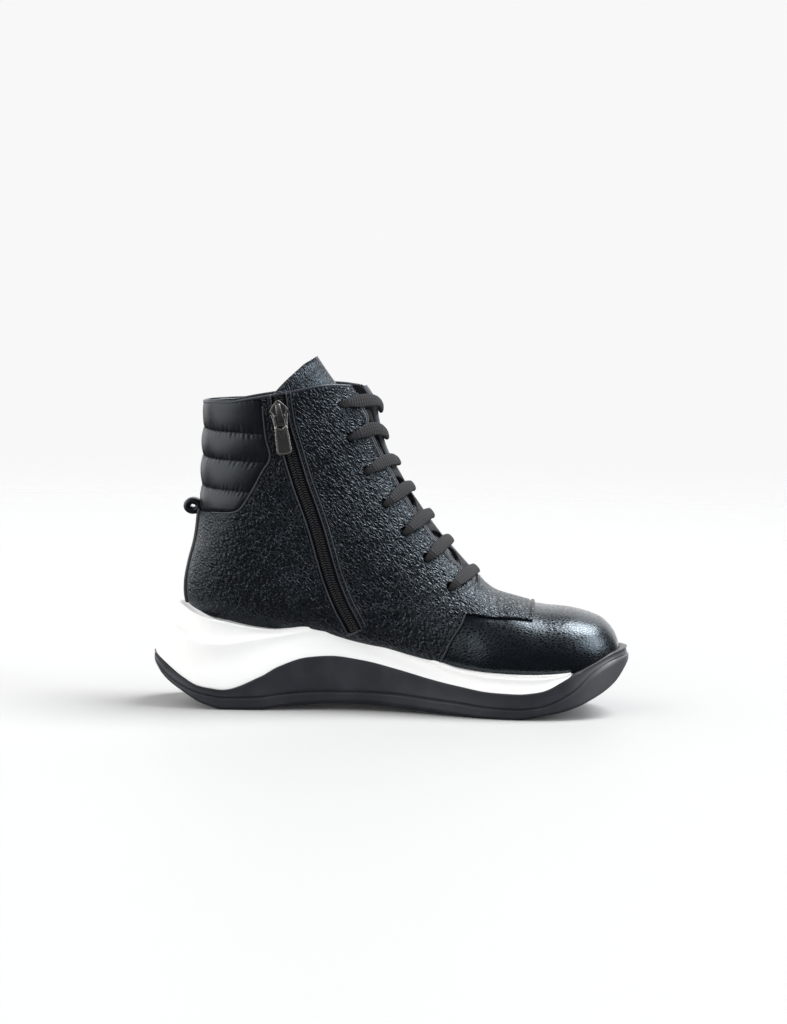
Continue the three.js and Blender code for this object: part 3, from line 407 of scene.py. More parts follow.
def sweep_parts(path, normals, profile, size=None, closed=False):
    """A closed profile (across, up) carried along a path; size scales it at each point. Returns
    points, faces and UVs: length along the path, and length round the profile."""
    profile = np.asarray(profile, float)
    size = np.ones((len(path), 2)) if size is None else size
    along = tangents(path, closed)
    across = unit(np.cross(along, normals))
    rise = np.cross(across, along)
    flat = profile[None] * size[:, None]
    points = path[:, None] + across[:, None] * flat[..., :1] + rise[:, None] * flat[..., 1:]
    rows, cols = points.shape[:2]
    if closed:
        quads = grid_faces(rows + 1, cols, ring=True)
        faces = list(quads % (rows * cols))
    else:
        faces = list(grid_faces(rows, cols, ring=True))
        faces += [np.arange(cols)[::-1], np.arange(cols) + (rows - 1) * cols]
    round_it = run_length(np.concatenate([profile, profile[:1]]))[:-1]
    uv = np.stack(np.meshgrid(run_length(path), round_it, indexing="ij"), -1)
    return points.reshape(-1, 3), faces, uv.reshape(-1, 2)


def joined(parts):
    """Several sets of points, faces and UVs as one."""
    points, faces, uvs, start = [], [], [], 0
    for part_points, part_faces, part_uv in parts:
        points.append(part_points)
        uvs.append(part_uv)
        faces += [np.asarray(face) + start for face in part_faces]
        start += len(part_points)
    return np.concatenate(points), faces, np.concatenate(uvs)


def oval(width, height, sides=10):
    """A rounded profile, a little squarer than an ellipse."""
    angle = np.arange(sides) * 2 * np.pi / sides
    c, w = np.cos(angle), np.sin(angle)
    return np.stack([np.sign(c) * np.abs(c)**0.8 * width / 2, np.sign(w) * np.abs(w)**0.8 * height / 2], -1)


def side_flat(line):
    """A line of the side view in metres, from its shares and levels."""
    return np.stack([along_x(line[:, 0]), level(line[:, 1])], -1)


def sideways(flat):
    """The direction to the right of a line of the side view, as it runs."""
    way = tangents(flat)
    return np.stack([way[:, 1], -way[:, 0]], -1)


def on_side(line, side, offset, step=1.2 * MM):
    """A line of the side view laid on the boot: its points and outward directions."""
    flat = spaced(side_flat(line), step)
    s, turn = find_on_side(flat[:, 0], flat[:, 1], side)
    return offset_point(s, turn, offset), last_normal(s, turn)


def beside(line, reach):
    """A line of the side view moved sideways by a reach, to its right as it runs; the result is in
    shares and levels again."""
    flat = spaced(side_flat(line), 3 * MM)
    moved = flat + sideways(flat) * reach
    shares = moved[:, 0] / LENGTH + 0.5
    rise = (moved[:, 1] - HEEL_SEAT) / (COLLAR_HEIGHT - HEEL_SEAT) + 1
    return np.stack([shares, np.where(moved[:, 1] > HEEL_SEAT, rise, moved[:, 1] / HEEL_SEAT)], -1)


def dressed(piece, finish, body="boot", replaces=()):
    """Gives a piece its finish, its body and the solids that it stands for."""
    piece.data.materials.clear()
    piece.data.materials.append(finish)
    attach(piece, body)
    if replaces:
        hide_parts(*replaces)
    print(piece.name, len(piece.data.polygons), "faces")
    return piece


print("a grid of 3 by 4 points has", len(grid_faces(3, 4)), "faces")

# %% [markdown]
# The seams and edges are drawn once, in the side view, as shares of the length and levels.

# %% Outlines in the side view
QUARTER_SEAM = np.array([[0.605, 0.60], [0.607, 0.79], [0.617, 0.94], [0.630, 1.04], [0.648, 1.10],
                         [0.657, 1.147], [0.670, 1.181], [0.682, 1.219], [0.685, 1.244], [0.684, 1.282]])
COLLAR_LINE = np.array([[0.0965, 2.0], [0.125, 2.0], [0.157, 2.002], [0.20, 2.018], [0.25, 2.036],
                        [0.279, 2.048], [0.335, 2.073], [0.367, 2.082], [0.391, 2.083], [0.413, 2.081],
                        [0.430, 2.078], [0.441, 2.071], [0.447, 2.060]])
PAD_FRONT = np.array([[0.165, 1.541], [0.184, 1.556], [0.198, 1.594], [0.211, 1.64], [0.230, 1.715],
                      [0.246, 1.776], [0.237, 1.855], [0.232, 1.935], [0.224, 2.03]])
QUILT_LINES = np.array([1.645, 1.77, 1.888])
ZIP_LINE = np.array([[0.429, 1.050], [0.418, 1.094], [0.400, 1.160], [0.379, 1.259], [0.363, 1.358],
                     [0.347, 1.466], [0.329, 1.568], [0.311, 1.662], [0.289, 1.799], [0.271, 1.914],
                     [0.261, 2.043]])
EYELETS = np.array([[0.393, 2.005], [0.416, 1.866], [0.450, 1.725], [0.490, 1.592], [0.532, 1.475],
                    [0.580, 1.369], [0.631, 1.255]])
BAR_TOPS = np.array([[0.452, 1.953], [0.468, 1.842], [0.499, 1.745], [0.534, 1.652], [0.575, 1.538],
                     [0.617, 1.434], [0.672, 1.305]])
THROAT = columns(["s", "inner", "outer"], [
    [8.45, 14.6, 8.5], [8.80, 15.1, 8.6], [9.60, 15.4, 8.6], [10.4, 15.4, 8.5], [11.1, 14.3, 8.3],
    [12.3, 13.1, 8.1], [13.5, 12.3, 7.8], [14.6, 12.2, 7.5], [15.9, 14.0, 7.3], [17.3, 15.6, 7.2],
    [18.9, 16.0, 7.0], [20.4, 15.3, 7.0], [21.5, 15.4, 7.4], [29.0, 16.0, 8.0]])


def edge_by_turn(line):
    """Which section an edge of the upper reaches at each turn, from its line in the side view."""
    s, turn = find_on_side(along_x(line[:, 0]), level(line[:, 1]), 1)
    order = np.argsort(turn)
    s, turn = s[order], turn[order]
    keep = np.concatenate([[True], np.diff(turn) > 1e-4])
    return monotone(turn[keep], s[keep])


seam_at = edge_by_turn(QUARTER_SEAM)
collar_at = edge_by_turn(COLLAR_LINE)


def throat_edge(s, side):
    """The turn at which the throat opens in section s, on the inner side (-1) or outer side (1)."""
    half = np.interp(s, THROAT["s"], THROAT["inner" if side < 0 else "outer"]) * MM
    return turn_at_width(s, half * ease(s, 8.0, 8.75))


print("seam s", seam_at(np.array([0.05, 0.5])), "collar s", collar_at(np.array([0.05, 0.5, 1.0])))

# %% [markdown]
# ## Finishes
# A finish is a small network of nodes. Written out by hand a network is hard to read, so one small
# class wraps a socket and lets sums of values be written as sums. Every pattern reads the object's
# own coordinates, or the UVs of a piece that was swept, so it stays put in any view.

# %% A socket that can be added and multiplied


class Wire:
    """The value that leaves a node. Sums and products of wires add Math nodes."""

    def __init__(self, tree, socket):
        self.tree = tree
        self.socket = socket

    def math(self, operation, *values, clamp=False):
        node = self.tree.nodes.new("ShaderNodeMath")
        node.operation = operation
        node.use_clamp = clamp
        for entry, value in zip(node.inputs, values):
            plug(self.tree, entry, value)
        return Wire(self.tree, node.outputs[0])

    def __add__(self, other):
        return self.math("ADD", self, other)

    def __radd__(self, other):
        return self.math("ADD", other, self)

    def __sub__(self, other):
        return self.math("SUBTRACT", self, other)

    def __rsub__(self, other):
        return self.math("SUBTRACT", other, self)

    def __mul__(self, other):
        return self.math("MULTIPLY", self, other)

    def __rmul__(self, other):
        return self.math("MULTIPLY", other, self)

    def clamped(self):
        return self.math("ADD", self, 0.0, clamp=True)

    def step(self, start, end):
        """0 below start and 1 above end, eased."""
        node = self.tree.nodes.new("ShaderNodeMapRange")
        node.interpolation_type = "SMOOTHSTEP"
        for name, value in (("Value", self), ("From Min", start), ("From Max", end)):
            plug(self.tree, node.inputs[name], value)
        return Wire(self.tree, node.outputs["Result"])


def plug(tree, entry, value):
    """Links a wire to a socket, or sets the socket to a plain value."""
    if isinstance(value, Wire):
        tree.links.new(value.socket, entry)
    elif hasattr(entry.default_value, "__len__") and np.ndim(value) == 1:
        entry.default_value = tuple(value)[:len(entry.default_value)]
    else:
        entry.default_value = value


class Finish:
    """The nodes of one material, or of the air, while they are wired up."""

    def __init__(self, name, family=bpy.data.materials):
        self.owner = family.new(name)
        self.owner.use_nodes = True
        self.tree = self.owner.node_tree
        self.tree.nodes.clear()

    def node(self, kind, settings=None, out=0, ends=(), **values):
        """Adds a node: its settings first, then what its sockets hold, in their order or by name.
        Names are written with underscores for spaces."""
        node = self.tree.nodes.new("ShaderNode" + kind)
        for name, value in (settings or {}).items():
            setattr(node, name, value)
        for entry, value in zip(node.inputs, ends):
            plug(self.tree, entry, value)
        for name, value in values.items():
            plug(self.tree, node.inputs[name.replace("_", " ")], value)
        return Wire(self.tree, node.outputs[out])

    def coordinates(self, kind="Object"):
        """Places on the piece: its own metres, or the UVs of a swept piece."""
        return self.node("TexCoord", out=kind)

    def noise(self, scale, detail=3.0, where=None, out="Fac"):
        """Soft random patches, a scale of them to the metre."""
        return self.node("TexNoise", out=out, Vector=where or self.coordinates(), Scale=scale,
                         Detail=detail, Roughness=0.55)

    def cells(self, scale, where):
        """How far a place is from the nearest edge between irregular cells."""
        return self.node("TexVoronoi", {"feature": "DISTANCE_TO_EDGE"}, out="Distance", Vector=where,
                         Scale=scale, Randomness=1.0)

    def bands(self, way, pitch, where):
        """Even waves along one axis. At scale 1 the node's wave is a twentieth of 2 pi long."""
        return self.node("TexWave", {"wave_type": "BANDS", "bands_direction": way, "wave_profile": "SIN"},
                         out="Fac", Vector=where, Scale=2 * math.pi / pitch / 20)

    def blend(self, factor, one, other):
        """A colour between two colours. The Mix node keeps its colours in sockets 6 and 7."""
        node = self.tree.nodes.new("ShaderNodeMix")
        node.data_type = "RGBA"
        for entry, value in ((node.inputs[0], factor), (node.inputs[6], one), (node.inputs[7], other)):
            if not isinstance(value, Wire) and np.ndim(value) == 1:
                value = (*value, 1)
            plug(self.tree, entry, value)
        return Wire(self.tree, node.outputs[2])

    def warped(self, amount, scale, where=None):
        """Coordinates pushed about by noise, so that cells aren't too even."""
        push = self.node("VectorMath", {"operation": "SCALE"}, Vector=self.noise(scale, 2, out="Color"),
                         Scale=amount)
        return self.node("VectorMath", {"operation": "ADD"}, ends=(where or self.coordinates(), push))

    def stretched(self, angle, shares):
        """Object coordinates turned in the side view, then stretched along and across that line."""
        turned = self.node("Mapping", Vector=self.coordinates(), Rotation=(0, math.radians(angle), 0))
        return self.node("Mapping", Vector=turned, Scale=shares)

    def bump(self, height, distance):
        """A normal tilted by a height between 0 and 1 that stands for a real distance."""
        return self.node("Bump", out="Normal", Height=height, Distance=distance, Strength=1.0)

    def ended(self, shader, kind="OutputMaterial"):
        """Wires the shader to the output, and hands over the finished material or air."""
        end = self.tree.nodes.new("ShaderNode" + kind)
        self.tree.links.new(shader.socket, end.inputs["Surface"])
        return self.owner

    def surface(self, **values):
        """A material of one Principled shader."""
        return self.ended(self.node("BsdfPrincipled", **values))


def times(colour, factor):
    """A colour made darker or brighter."""
    return tuple(c * factor for c in colour)


print("a wire can be added, subtracted and multiplied, from either side")

# %% [markdown]
# Grained leather is milled until it shrinks into pebbles. The creases between them are what make it
# look black and bright at once: each pebble's crown carries a small highlight. A hand-painted map
# would fit one piece only. Cells with their distance to the edge give pebbles on any piece: coarse
# on the quarters, finer on the tongue and shallow on the toe. The hide was pulled one way, so the
# cells are turned and stretched along it, and a bent noise adds the longer furrows between them.

# %% Leathers
SHEEN_TINT, SOFT_SHEEN_TINT = (0.74, 0.88, 1.0, 1), (0.85, 0.93, 1.0, 1)


def grained_leather(name, grain, depth, colour, shine, rough, angle=0, shares=(1, 1, 1)):
    """Pebbles, with finer ones between, fade in and out in patches. The creases between pebbles are
    painted darker, as painted shade. A furrow runs where a noise passes its middle value: 1 minus
    its square there, and nothing elsewhere."""
    finish = Finish(name)
    flow = finish.stretched(angle, shares)
    where = finish.warped(1.6 * MM, 210, flow)
    pebbles = finish.cells(grain, where).step(0.0, 0.30)
    fine = finish.cells(grain * 2.1, where).step(0.0, 0.4)
    patch = finish.noise(34, 3)
    wave = (finish.noise(grain * 0.30, 2, where=finish.warped(3 * MM, 90, flow)) - 0.5) * 13
    furrow = (1 - wave * wave).clamped()
    height = (pebbles * 0.85 + fine * 0.15) * (patch * 0.9 + 0.35) - furrow * 0.55
    # Painted shade: the creases between pebbles take about a third of the colour, darker where shade falls.
    tint = finish.blend(pebbles, times(colour, 0.35), colour)
    tint = finish.blend(patch.step(0.45, 0.75) * 0.5, tint, times(colour, 1.7))
    dull = (rough + 0.16 - pebbles * 0.22 + patch * 0.06).clamped()
    return finish.surface(Base_Color=tint, Roughness=dull, Specular_IOR_Level=shine,
                          Specular_Tint=SHEEN_TINT, Normal=finish.bump(height, depth))


def smooth_leather(name, colour, rough):
    """A fine even grain, paler and duller where soft patches of wear lie."""
    finish = Finish(name)
    grain = finish.cells(1300, finish.warped(0.5 * MM, 500)).step(0.0, 0.4)
    wear = finish.noise(55, 4)
    height = grain * 0.6 + finish.noise(1500, 2) * 0.3
    tint = finish.blend(wear.step(0.4, 0.8), colour, times(colour, 1.8))
    return finish.surface(Base_Color=tint, Roughness=(wear * 0.16 + rough).clamped(),
                          Specular_IOR_Level=0.6, Specular_Tint=SOFT_SHEEN_TINT,
                          Normal=finish.bump(height, 0.05 * MM))


LEATHER_BLACK = (0.0022, 0.0028, 0.0045)
quarter_finish = grained_leather("leather_pebbled", 500, 0.40 * MM, LEATHER_BLACK, 0.65, 0.29, -38,
                                 (0.66, 1, 1.15))
tongue_finish = grained_leather("leather_tongue", 760, 0.17 * MM, LEATHER_BLACK, 0.8, 0.26, -62,
                                (0.6, 1, 1.1))
vamp_finish = grained_leather("leather_toe", 640, 0.055 * MM, LEATHER_BLACK, 0.9, 0.20, 8, (0.6, 1, 1.1))
pad_finish = smooth_leather("leather_smooth", (0.004, 0.0045, 0.006), 0.27)
# The cut edge along the throat is a pale grey: a painted highlight along its rim.
trim_highlight_finish = smooth_leather("leather_cut_edge_painted_highlight", (0.085, 0.090, 0.100), 0.40)
# The folded edges take a grey far lighter than the leather: a painted highlight along their raised rims.
edge_highlight_finish = smooth_leather("leather_edge_painted_highlight", (0.020, 0.022, 0.027), 0.34)
print("leathers:", [made.name for made in bpy.data.materials if made.name.startswith("leather")])

# %% [markdown]
# Rubber and foam are moulded. Rubber keeps a fine even texture from the mould and a little dust in
# patches, and it turns a paler grey towards the toe, so it looks charcoal. Foam is off-white and nearly
# smooth.

# %% Rubber, foam and lining


TOE_GREY = (0.085, 0.088, 0.096)
TOE_GREY_FROM, TOE_GREY_TO = 98 * MM, 124 * MM


def moulded(name, colour, rough, dust, toe_grey=0.0):
    """A colour that goes paler in patches, and a paler grey towards the toe by its place along the boot."""
    finish = Finish(name)
    patch = finish.noise(60, 4)
    pale = tuple(min(c * 1.5 + 0.01, 0.9) for c in colour)
    tint = finish.blend(patch.step(0.35, 0.8) * dust, colour, pale)
    along = finish.node("SeparateXYZ", Vector=finish.coordinates())
    # Towards the toe the colour is blended to a paler grey, by the place along the boot.
    toward_toe = along.step(TOE_GREY_FROM, TOE_GREY_TO) * (patch * 0.5 + 0.75) * toe_grey
    tint = finish.blend(toward_toe.clamped(), tint, TOE_GREY)
    height = finish.noise(2600, 3) + finish.noise(300, 2) * 0.4
    return finish.surface(Base_Color=tint, Roughness=(patch * 0.12 + rough).clamped(),
                          Specular_IOR_Level=0.4, Normal=finish.bump(height, 0.04 * MM))


rubber_finish = moulded("rubber_charcoal", (0.020, 0.0215, 0.027), 0.36, 0.5, toe_grey=0.6)
foam_finish = moulded("foam_white", (0.81, 0.81, 0.805), 0.50, 0.12)


def woven(name, colour, pitch, depth):
    """Cloth: the mean of two sets of waves, along the boot and up it."""
    finish = Finish(name)
    where = finish.coordinates()
    weave = finish.bands("X", pitch, where) * 0.5 + finish.bands("Z", pitch, where) * 0.5
    tint = finish.blend(weave.clamped(), times(colour, 0.55), colour)
    return finish.surface(Base_Color=tint, Roughness=0.85, Specular_IOR_Level=0.25,
                          Normal=finish.bump(weave, depth))


def ribbed(name, colour, pitch, depth, rough=0.8):
    """Flat woven cord: ribs across its length, read from the UVs of the swept piece."""
    finish = Finish(name)
    where = finish.coordinates("UV")
    ribs = finish.bands("X", pitch, where)
    yarn = finish.bands("Y", pitch * 1.3, where)
    fuzz = finish.noise(900, 3)
    height = ribs * 0.7 + yarn * 0.2 + fuzz * 0.15
    tint = finish.blend((ribs * 0.7 + fuzz * 0.3).clamped(), times(colour, 0.45), colour)
    return finish.surface(Base_Color=tint, Roughness=rough, Specular_IOR_Level=0.3,
                          Normal=finish.bump(height, depth))


lining_finish = woven("lining_cloth", (0.030, 0.031, 0.036), 0.9 * MM, 0.08 * MM)
lace_finish = ribbed("lace_ribbed", (0.040, 0.040, 0.043), 1.6 * MM, 0.35 * MM)
tape_finish = ribbed("zip_tape_ribbed", (0.006, 0.0065, 0.008), 1.4 * MM, 0.22 * MM, 0.6)


def plain_thread(name, colour, rough):
    """Fine noise darkens and dents the thread, as its twist does."""
    finish = Finish(name)
    twist = finish.noise(2200, 2)
    tint = finish.blend(twist.step(0.3, 0.7), times(colour, 0.6), colour)
    return finish.surface(Base_Color=tint, Roughness=rough, Specular_IOR_Level=0.35,
                          Normal=finish.bump(twist, 0.05 * MM))


# The black thread is given a dark grey, lighter than the leather: partly its own colour and partly a painted
# highlight along the stitch lines.
thread_highlight_finish = plain_thread("thread_black_greyed_as_highlight", (0.026, 0.028, 0.033), 0.45)
coil_finish = plain_thread("zip_coil_black", (0.034, 0.034, 0.038), 0.28)

# %% [markdown]
# The slider and its tab are cast metal with an aged nickel look: dark in the flats and rubbed
# bright on the edges. A Bevel node gives the normal that a rounded edge would have. Where it turns
# away from the true normal there is an edge, so no painting is needed.

# %% Metal


def aged_metal(name, dark, bright, rough):
    """Dark metal, bright where 1 minus the product of the two normals is above nought."""
    finish = Finish(name)
    bevel = finish.node("Bevel", {"samples": 6}, Radius=0.45 * MM)
    flat = finish.node("NewGeometry", out="Normal")
    alike = finish.node("VectorMath", {"operation": "DOT_PRODUCT"}, out="Value", ends=(bevel, flat))
    edge = (1 - alike).step(0.005, 0.12)
    scratch = finish.noise(700, 4)
    tint = finish.blend((edge + scratch.step(0.62, 0.8) * 0.25).clamped(), dark, bright)
    return finish.surface(Base_Color=tint, Metallic=0.9, Roughness=(scratch * 0.22 + rough).clamped(),
                          Normal=finish.bump(scratch, 0.03 * MM))


metal_finish = aged_metal("nickel_aged", (0.135, 0.133, 0.132), (0.84, 0.81, 0.76), 0.26)
print("finishes:", len(bpy.data.materials))

# %% [markdown]
# ## Sole
# The sole is a stack of rings round its plan. Each ring has an inset and a height that change from
# heel to toe, so the wave between the two layers, the groove and the toe's rim are only numbers in
# a table. The tread closes the stack below, with shallow grooves across it.

# %% Sole tables
PLAN = columns(["at", "half", "zone", "shift"], [
    [0.00, 0.985, 1, 0.00], [0.16, 1.000, 1, 0.00], [0.25, 0.970, 1, 0.01], [0.35, 0.915, 1, 0.055],
    [0.45, 0.950, 1, 0.10], [0.55, 0.790, 0, 0.085], [0.63, 0.905, 0, 0.06], [0.70, 0.980, 0, 0.025],
    [0.75, 1.000, 0, 0.00], [0.82, 0.975, 0, -0.025], [0.90, 0.920, 0, -0.06], [1.00, 0.860, 0, -0.11]])
ball_half, heel_half = BALL_WIDTH / 2 + SOLE_MARGIN, HEEL_WIDTH / 2 + HEEL_FLARE
plan_half = monotone(PLAN["at"], PLAN["half"] * np.where(PLAN["zone"] > 0.5, heel_half, ball_half))
plan_shift = monotone(PLAN["at"], PLAN["shift"] * ball_half)
HEEL_ROUND, TOE_ROUND = 0.135, 0.2
SOLE = columns(["at", "tread", "edge", "groove", "wave", "feather", "lean", "valley", "ridge"], [
    [0.000, 0.62, 0.65, 0.69, 0.77, 1.142, 0.86, 0.30, 0.62],
    [0.030, 0.40, 0.44, 0.50, 0.65, 1.131, 0.80, 0.30, 0.62],
    [0.070, 0.23, 0.27, 0.34, 0.47, 1.114, 0.60, 0.34, 0.63],
    [0.105, 0.10, 0.15, 0.25, 0.35, 1.101, 0.42, 0.38, 0.64],
    [0.130, 0.045, 0.085, 0.21, 0.32, 1.092, 0.32, 0.42, 0.66],
    [0.155, 0.00, 0.04, 0.185, 0.30, 1.083, 0.28, 0.44, 0.69],
    [0.235, 0.00, 0.05, 0.20, 0.508, 1.056, 0.27, 0.54, 0.82],
    [0.270, 0.05, 0.09, 0.24, 0.655, 1.052, 0.27, 0.60, 0.86],
    [0.330, 0.08, 0.14, 0.28, 0.80, 1.066, 0.30, 0.62, 0.86],
    [0.380, 0.10, 0.17, 0.29, 0.828, 1.068, 0.33, 0.60, 0.85],
    [0.440, 0.10, 0.18, 0.29, 0.778, 1.033, 0.33, 0.58, 0.84],
    [0.520, 0.06, 0.15, 0.28, 0.657, 0.945, 0.30, 0.56, 0.83],
    [0.585, 0.03, 0.11, 0.24, 0.545, 0.815, 0.26, 0.55, 0.82],
    [0.650, 0.01, 0.07, 0.21, 0.46, 0.690, 0.21, 0.53, 0.82],
    [0.712, 0.00, 0.04, 0.17, 0.40, 0.660, 0.17, 0.50, 0.82],
    [0.768, 0.00, 0.04, 0.16, 0.39, 0.650, 0.15, 0.48, 0.82],
    [0.815, 0.055, 0.10, 0.20, 0.43, 0.655, 0.13, 0.45, 0.80],
    [0.880, 0.15, 0.20, 0.41, 0.655, 0.690, 0.11, 0.45, 0.80],
    [0.930, 0.30, 0.35, 0.72, 0.79, 0.840, 0.09, 0.45, 0.80],
    [0.970, 0.48, 0.54, 0.86, 0.92, 0.975, 0.08, 0.45, 0.80],
    [1.000, 0.76, 0.82, 0.91, 0.96, 1.005, 0.07, 0.45, 0.80]])
sole_line = {name: monotone(SOLE["at"], level(values) if name not in ("lean", "valley", "ridge") else values)
             for name, values in SOLE.items() if name != "at"}
LEAN_SIZE = HEEL_FLARE * 2.4
LEDGE = HEEL_FLARE + 1.5 * MM
SCOOP = 1.5 * MM
WHITE_TIP = 0.884
LIP = 0.8 * MM

STATIONS = 230
station_at = (1 - np.cos(np.pi * np.arange(STATIONS + 1) / STATIONS)) / 2
ring_at = np.concatenate([station_at, station_at[1:-1][::-1]])
ring_side = np.concatenate([-np.ones(STATIONS + 1), np.ones(STATIONS - 1)])
print("wave at the arch, mm:", round(float(sole_line["wave"](0.38)) / MM, 1))


def plan_outline():
    """Half widths beside a shifting middle line, closed at heel and toe as an ellipse is."""
    heel = np.sqrt(np.clip(1 - (1 - ring_at / HEEL_ROUND)**2, 0, 1))
    toe = np.sqrt(np.clip(1 - ((ring_at - 1 + TOE_ROUND) / TOE_ROUND)**2, 0, 1))
    round_off = np.where(ring_at < HEEL_ROUND, heel, np.where(ring_at > 1 - TOE_ROUND, toe, 1))
    y = plan_shift(ring_at) + ring_side * plan_half(ring_at) * round_off
    return np.stack([along_x(ring_at), y], -1)


outline = plan_outline()
outline[:, 1] -= (outline[:, 1].max() + outline[:, 1].min()) / 2
ahead = unit(np.roll(outline, -1, axis=0) - np.roll(outline, 1, axis=0))
inward = np.stack([-ahead[:, 1], ahead[:, 0]], -1)


def sole_ring(inset, height):
    """One ring of the sole: the plan moved inwards, at a height for each place along it."""
    flat = outline + inward * np.broadcast_to(inset, ring_at.shape)[:, None]
    return np.concatenate([flat, np.broadcast_to(height, ring_at.shape)[:, None]], -1)


def across_rows(ring, count, height):
    """Closes a ring with rows straight across it. height gets place, share across and z."""
    left, other = ring[:STATIONS + 1], np.concatenate([ring[:1], ring[STATIONS + 1:][::-1],
                                                       ring[STATIONS:STATIONS + 1]])
    share = np.linspace(0, 1, count)
    rows = left[:, None] * (1 - share[None, :, None]) + other[:, None] * share[None, :, None]
    rows[..., 2] = height(station_at[:, None], share[None], rows[..., 2], rows)
    return rows


def stack(name, rings, bottom, top):
    """Rings joined from below to above, closed by two sets of rows across."""
    rings = np.array(rings)
    count = rings.shape[0] * rings.shape[1]
    faces = [grid_faces(rings.shape[0], rings.shape[1], ring=True)]
    points = [rings.reshape(-1, 3)]
    for rows, flip in ((bottom, True), (top, False)):
        quads = grid_faces(*rows.shape[:2], start=count)
        faces.append(quads[:, ::-1] if flip else quads)
        points.append(rows.reshape(-1, 3))
        count += rows.shape[0] * rows.shape[1]
    return as_piece(name, np.concatenate(points), np.concatenate(faces))


# %% Outsole
def wave_top():
    """Top edge of the rubber: the wave, and past the white's thin tip the feather line."""
    tip = ease(ring_at, WHITE_TIP - 0.012, WHITE_TIP + 0.006)
    return sole_line["wave"](ring_at) * (1 - tip) + sole_line["feather"](ring_at) * tip


def outsole_rings():
    """From the tread up: a rounded edge, a wall, the moulded groove, and a wall that is hollowed
    under the toe's rim. Each ring is an inset and a height."""
    line = {name: curve(ring_at) for name, curve in sole_line.items()}
    top = wave_top()
    toe = ease(ring_at, 0.86, 0.93)
    groove = np.minimum(np.maximum(line["groove"], line["edge"] + 1.2 * MM), top - 1.2 * MM)
    rings = [sole_ring(2.6 * MM, line["tread"])]
    for step, share in ((1.9, 0.18), (1.1, 0.42), (0.5, 0.66), (0.15, 0.86)):
        rings.append(sole_ring(step * MM, line["tread"] + (line["edge"] - line["tread"]) * share))
    rings.append(sole_ring(0.0, line["edge"] + 0.3 * MM))
    below = np.linspace(0.12, 1, 7)[:-1]
    for share in below:
        rings.append(sole_ring(0.0, line["edge"] + (groove - 0.75 * MM - line["edge"]) * share))
    for step, depth in ((-0.6, 0.05), (-0.45, 0.35), (-0.25, 0.7), (0, 0.85), (0.25, 0.7), (0.45, 0.3),
                        (0.6, 0.03)):
        extra = toe * 0.9 * ease(step, -0.3, 0.6)
        rings.append(sole_ring((depth + extra) * MM, groove + step * MM))
    for share in np.linspace(0.08, 0.93, 14):
        hollow = toe * (0.9 + 0.6 * math.sin(math.pi * share)) * MM
        lean = 0.25 * MM * math.sin(math.pi * share) * (1 - toe)
        rings.append(sole_ring(hollow + lean, groove + 0.6 * MM + (top - groove - 0.6 * MM) * share))
    for inset, drop in ((0.12, 0.55), (0.35, 0.2), (0.75, 0.02), (1.3, 0.0), (2.6, 0.12), (4.2, 0.5)):
        rings.append(sole_ring((inset + 0.9 * toe) * MM, top - drop * MM))
    return rings


LUG_PITCH, LUG_DEPTH = 9.5 * MM, 1.8 * MM


def lugs(at, share, z, rows):
    """Shallow grooves across the tread, under the ball and the heel, with soft sides."""
    x = rows[..., 0]
    phase = np.abs((x / LUG_PITCH) % 1 - 0.5) * LUG_PITCH
    groove = 1 - ease(phase, 1.1 * MM, 1.7 * MM)
    heel = ease(at, 0.15, 0.17) * (1 - ease(at, 0.30, 0.32))
    ball = ease(at, 0.54, 0.56) * (1 - ease(at, 0.86, 0.88))
    edge = ease(np.minimum(share, 1 - share), 0.06, 0.09)
    return sole_line["tread"](at) + LUG_DEPTH * groove * (heel + ball) * edge


outsole_ring_list = outsole_rings()
outsole = stack("outsole_rubber", outsole_ring_list,
                across_rows(outsole_ring_list[0], 44, lugs),
                across_rows(outsole_ring_list[-1], 12, lambda at, share, z, rows: z))
dressed(outsole, rubber_finish, replaces=["outsole"])

# %% Midsole


def side_hollow(share, valley, ridge, at):
    """How far the white side is scooped in: a valley, a ridge, and a leaf-shaped hollow above it at
    the heel."""
    lower = np.sin(np.pi * np.clip(share / ridge, 0, 1) ** (np.log(0.5) / np.log(valley / ridge)))**1.3
    above = np.clip((share - ridge) / (1 - ridge), 0, 1)
    leaf = ease(at, 0.0, 0.05) * (1 - ease(at, 0.24, 0.31))
    upper = np.sin(np.pi * above**0.85) ** 0.8
    return SCOOP * np.where(share < ridge, lower, upper * (0.45 + 0.9 * leaf))


def midsole_rings():
    """From the rubber's edge up: the side leans in by a power of its height, less its hollows, then
    the ledge turns in to the upper. Past the thin tip the white hides inside the rubber."""
    line = {name: curve(ring_at) for name, curve in sole_line.items()}
    low = wave_top() - 0.2 * MM
    hide = ease(ring_at, WHITE_TIP - 0.006, WHITE_TIP + 0.01) * 7 * MM
    rings = [sole_ring(6 * MM + hide, low - 1.0 * MM), sole_ring(LIP + 1.2 * MM + hide, low)]
    top = np.maximum(line["feather"], low + 0.4 * MM)
    for share in np.linspace(0, 1, 44):
        hollow = side_hollow(share, line["valley"], line["ridge"], ring_at)
        inset = LIP + line["lean"] * LEAN_SIZE * share**1.25 + hollow
        rings.append(sole_ring(inset + hide, low + (top - low) * share))
    inset = LIP + line["lean"] * LEAN_SIZE
    for more, rise in ((0.35, 0.3), (0.9, 0.45), (2.0, 0.5), (LEDGE / MM, 0.4)):
        rings.append(sole_ring(inset + more * MM + hide, top + rise * MM))
    return rings


midsole_ring_list = midsole_rings()
midsole = stack("midsole_foam", midsole_ring_list,
                across_rows(midsole_ring_list[0], 8, lambda at, share, z, rows: z),
                across_rows(midsole_ring_list[-1], 8, lambda at, share, z, rows: z))
dressed(midsole, foam_finish, replaces=["midsole"])

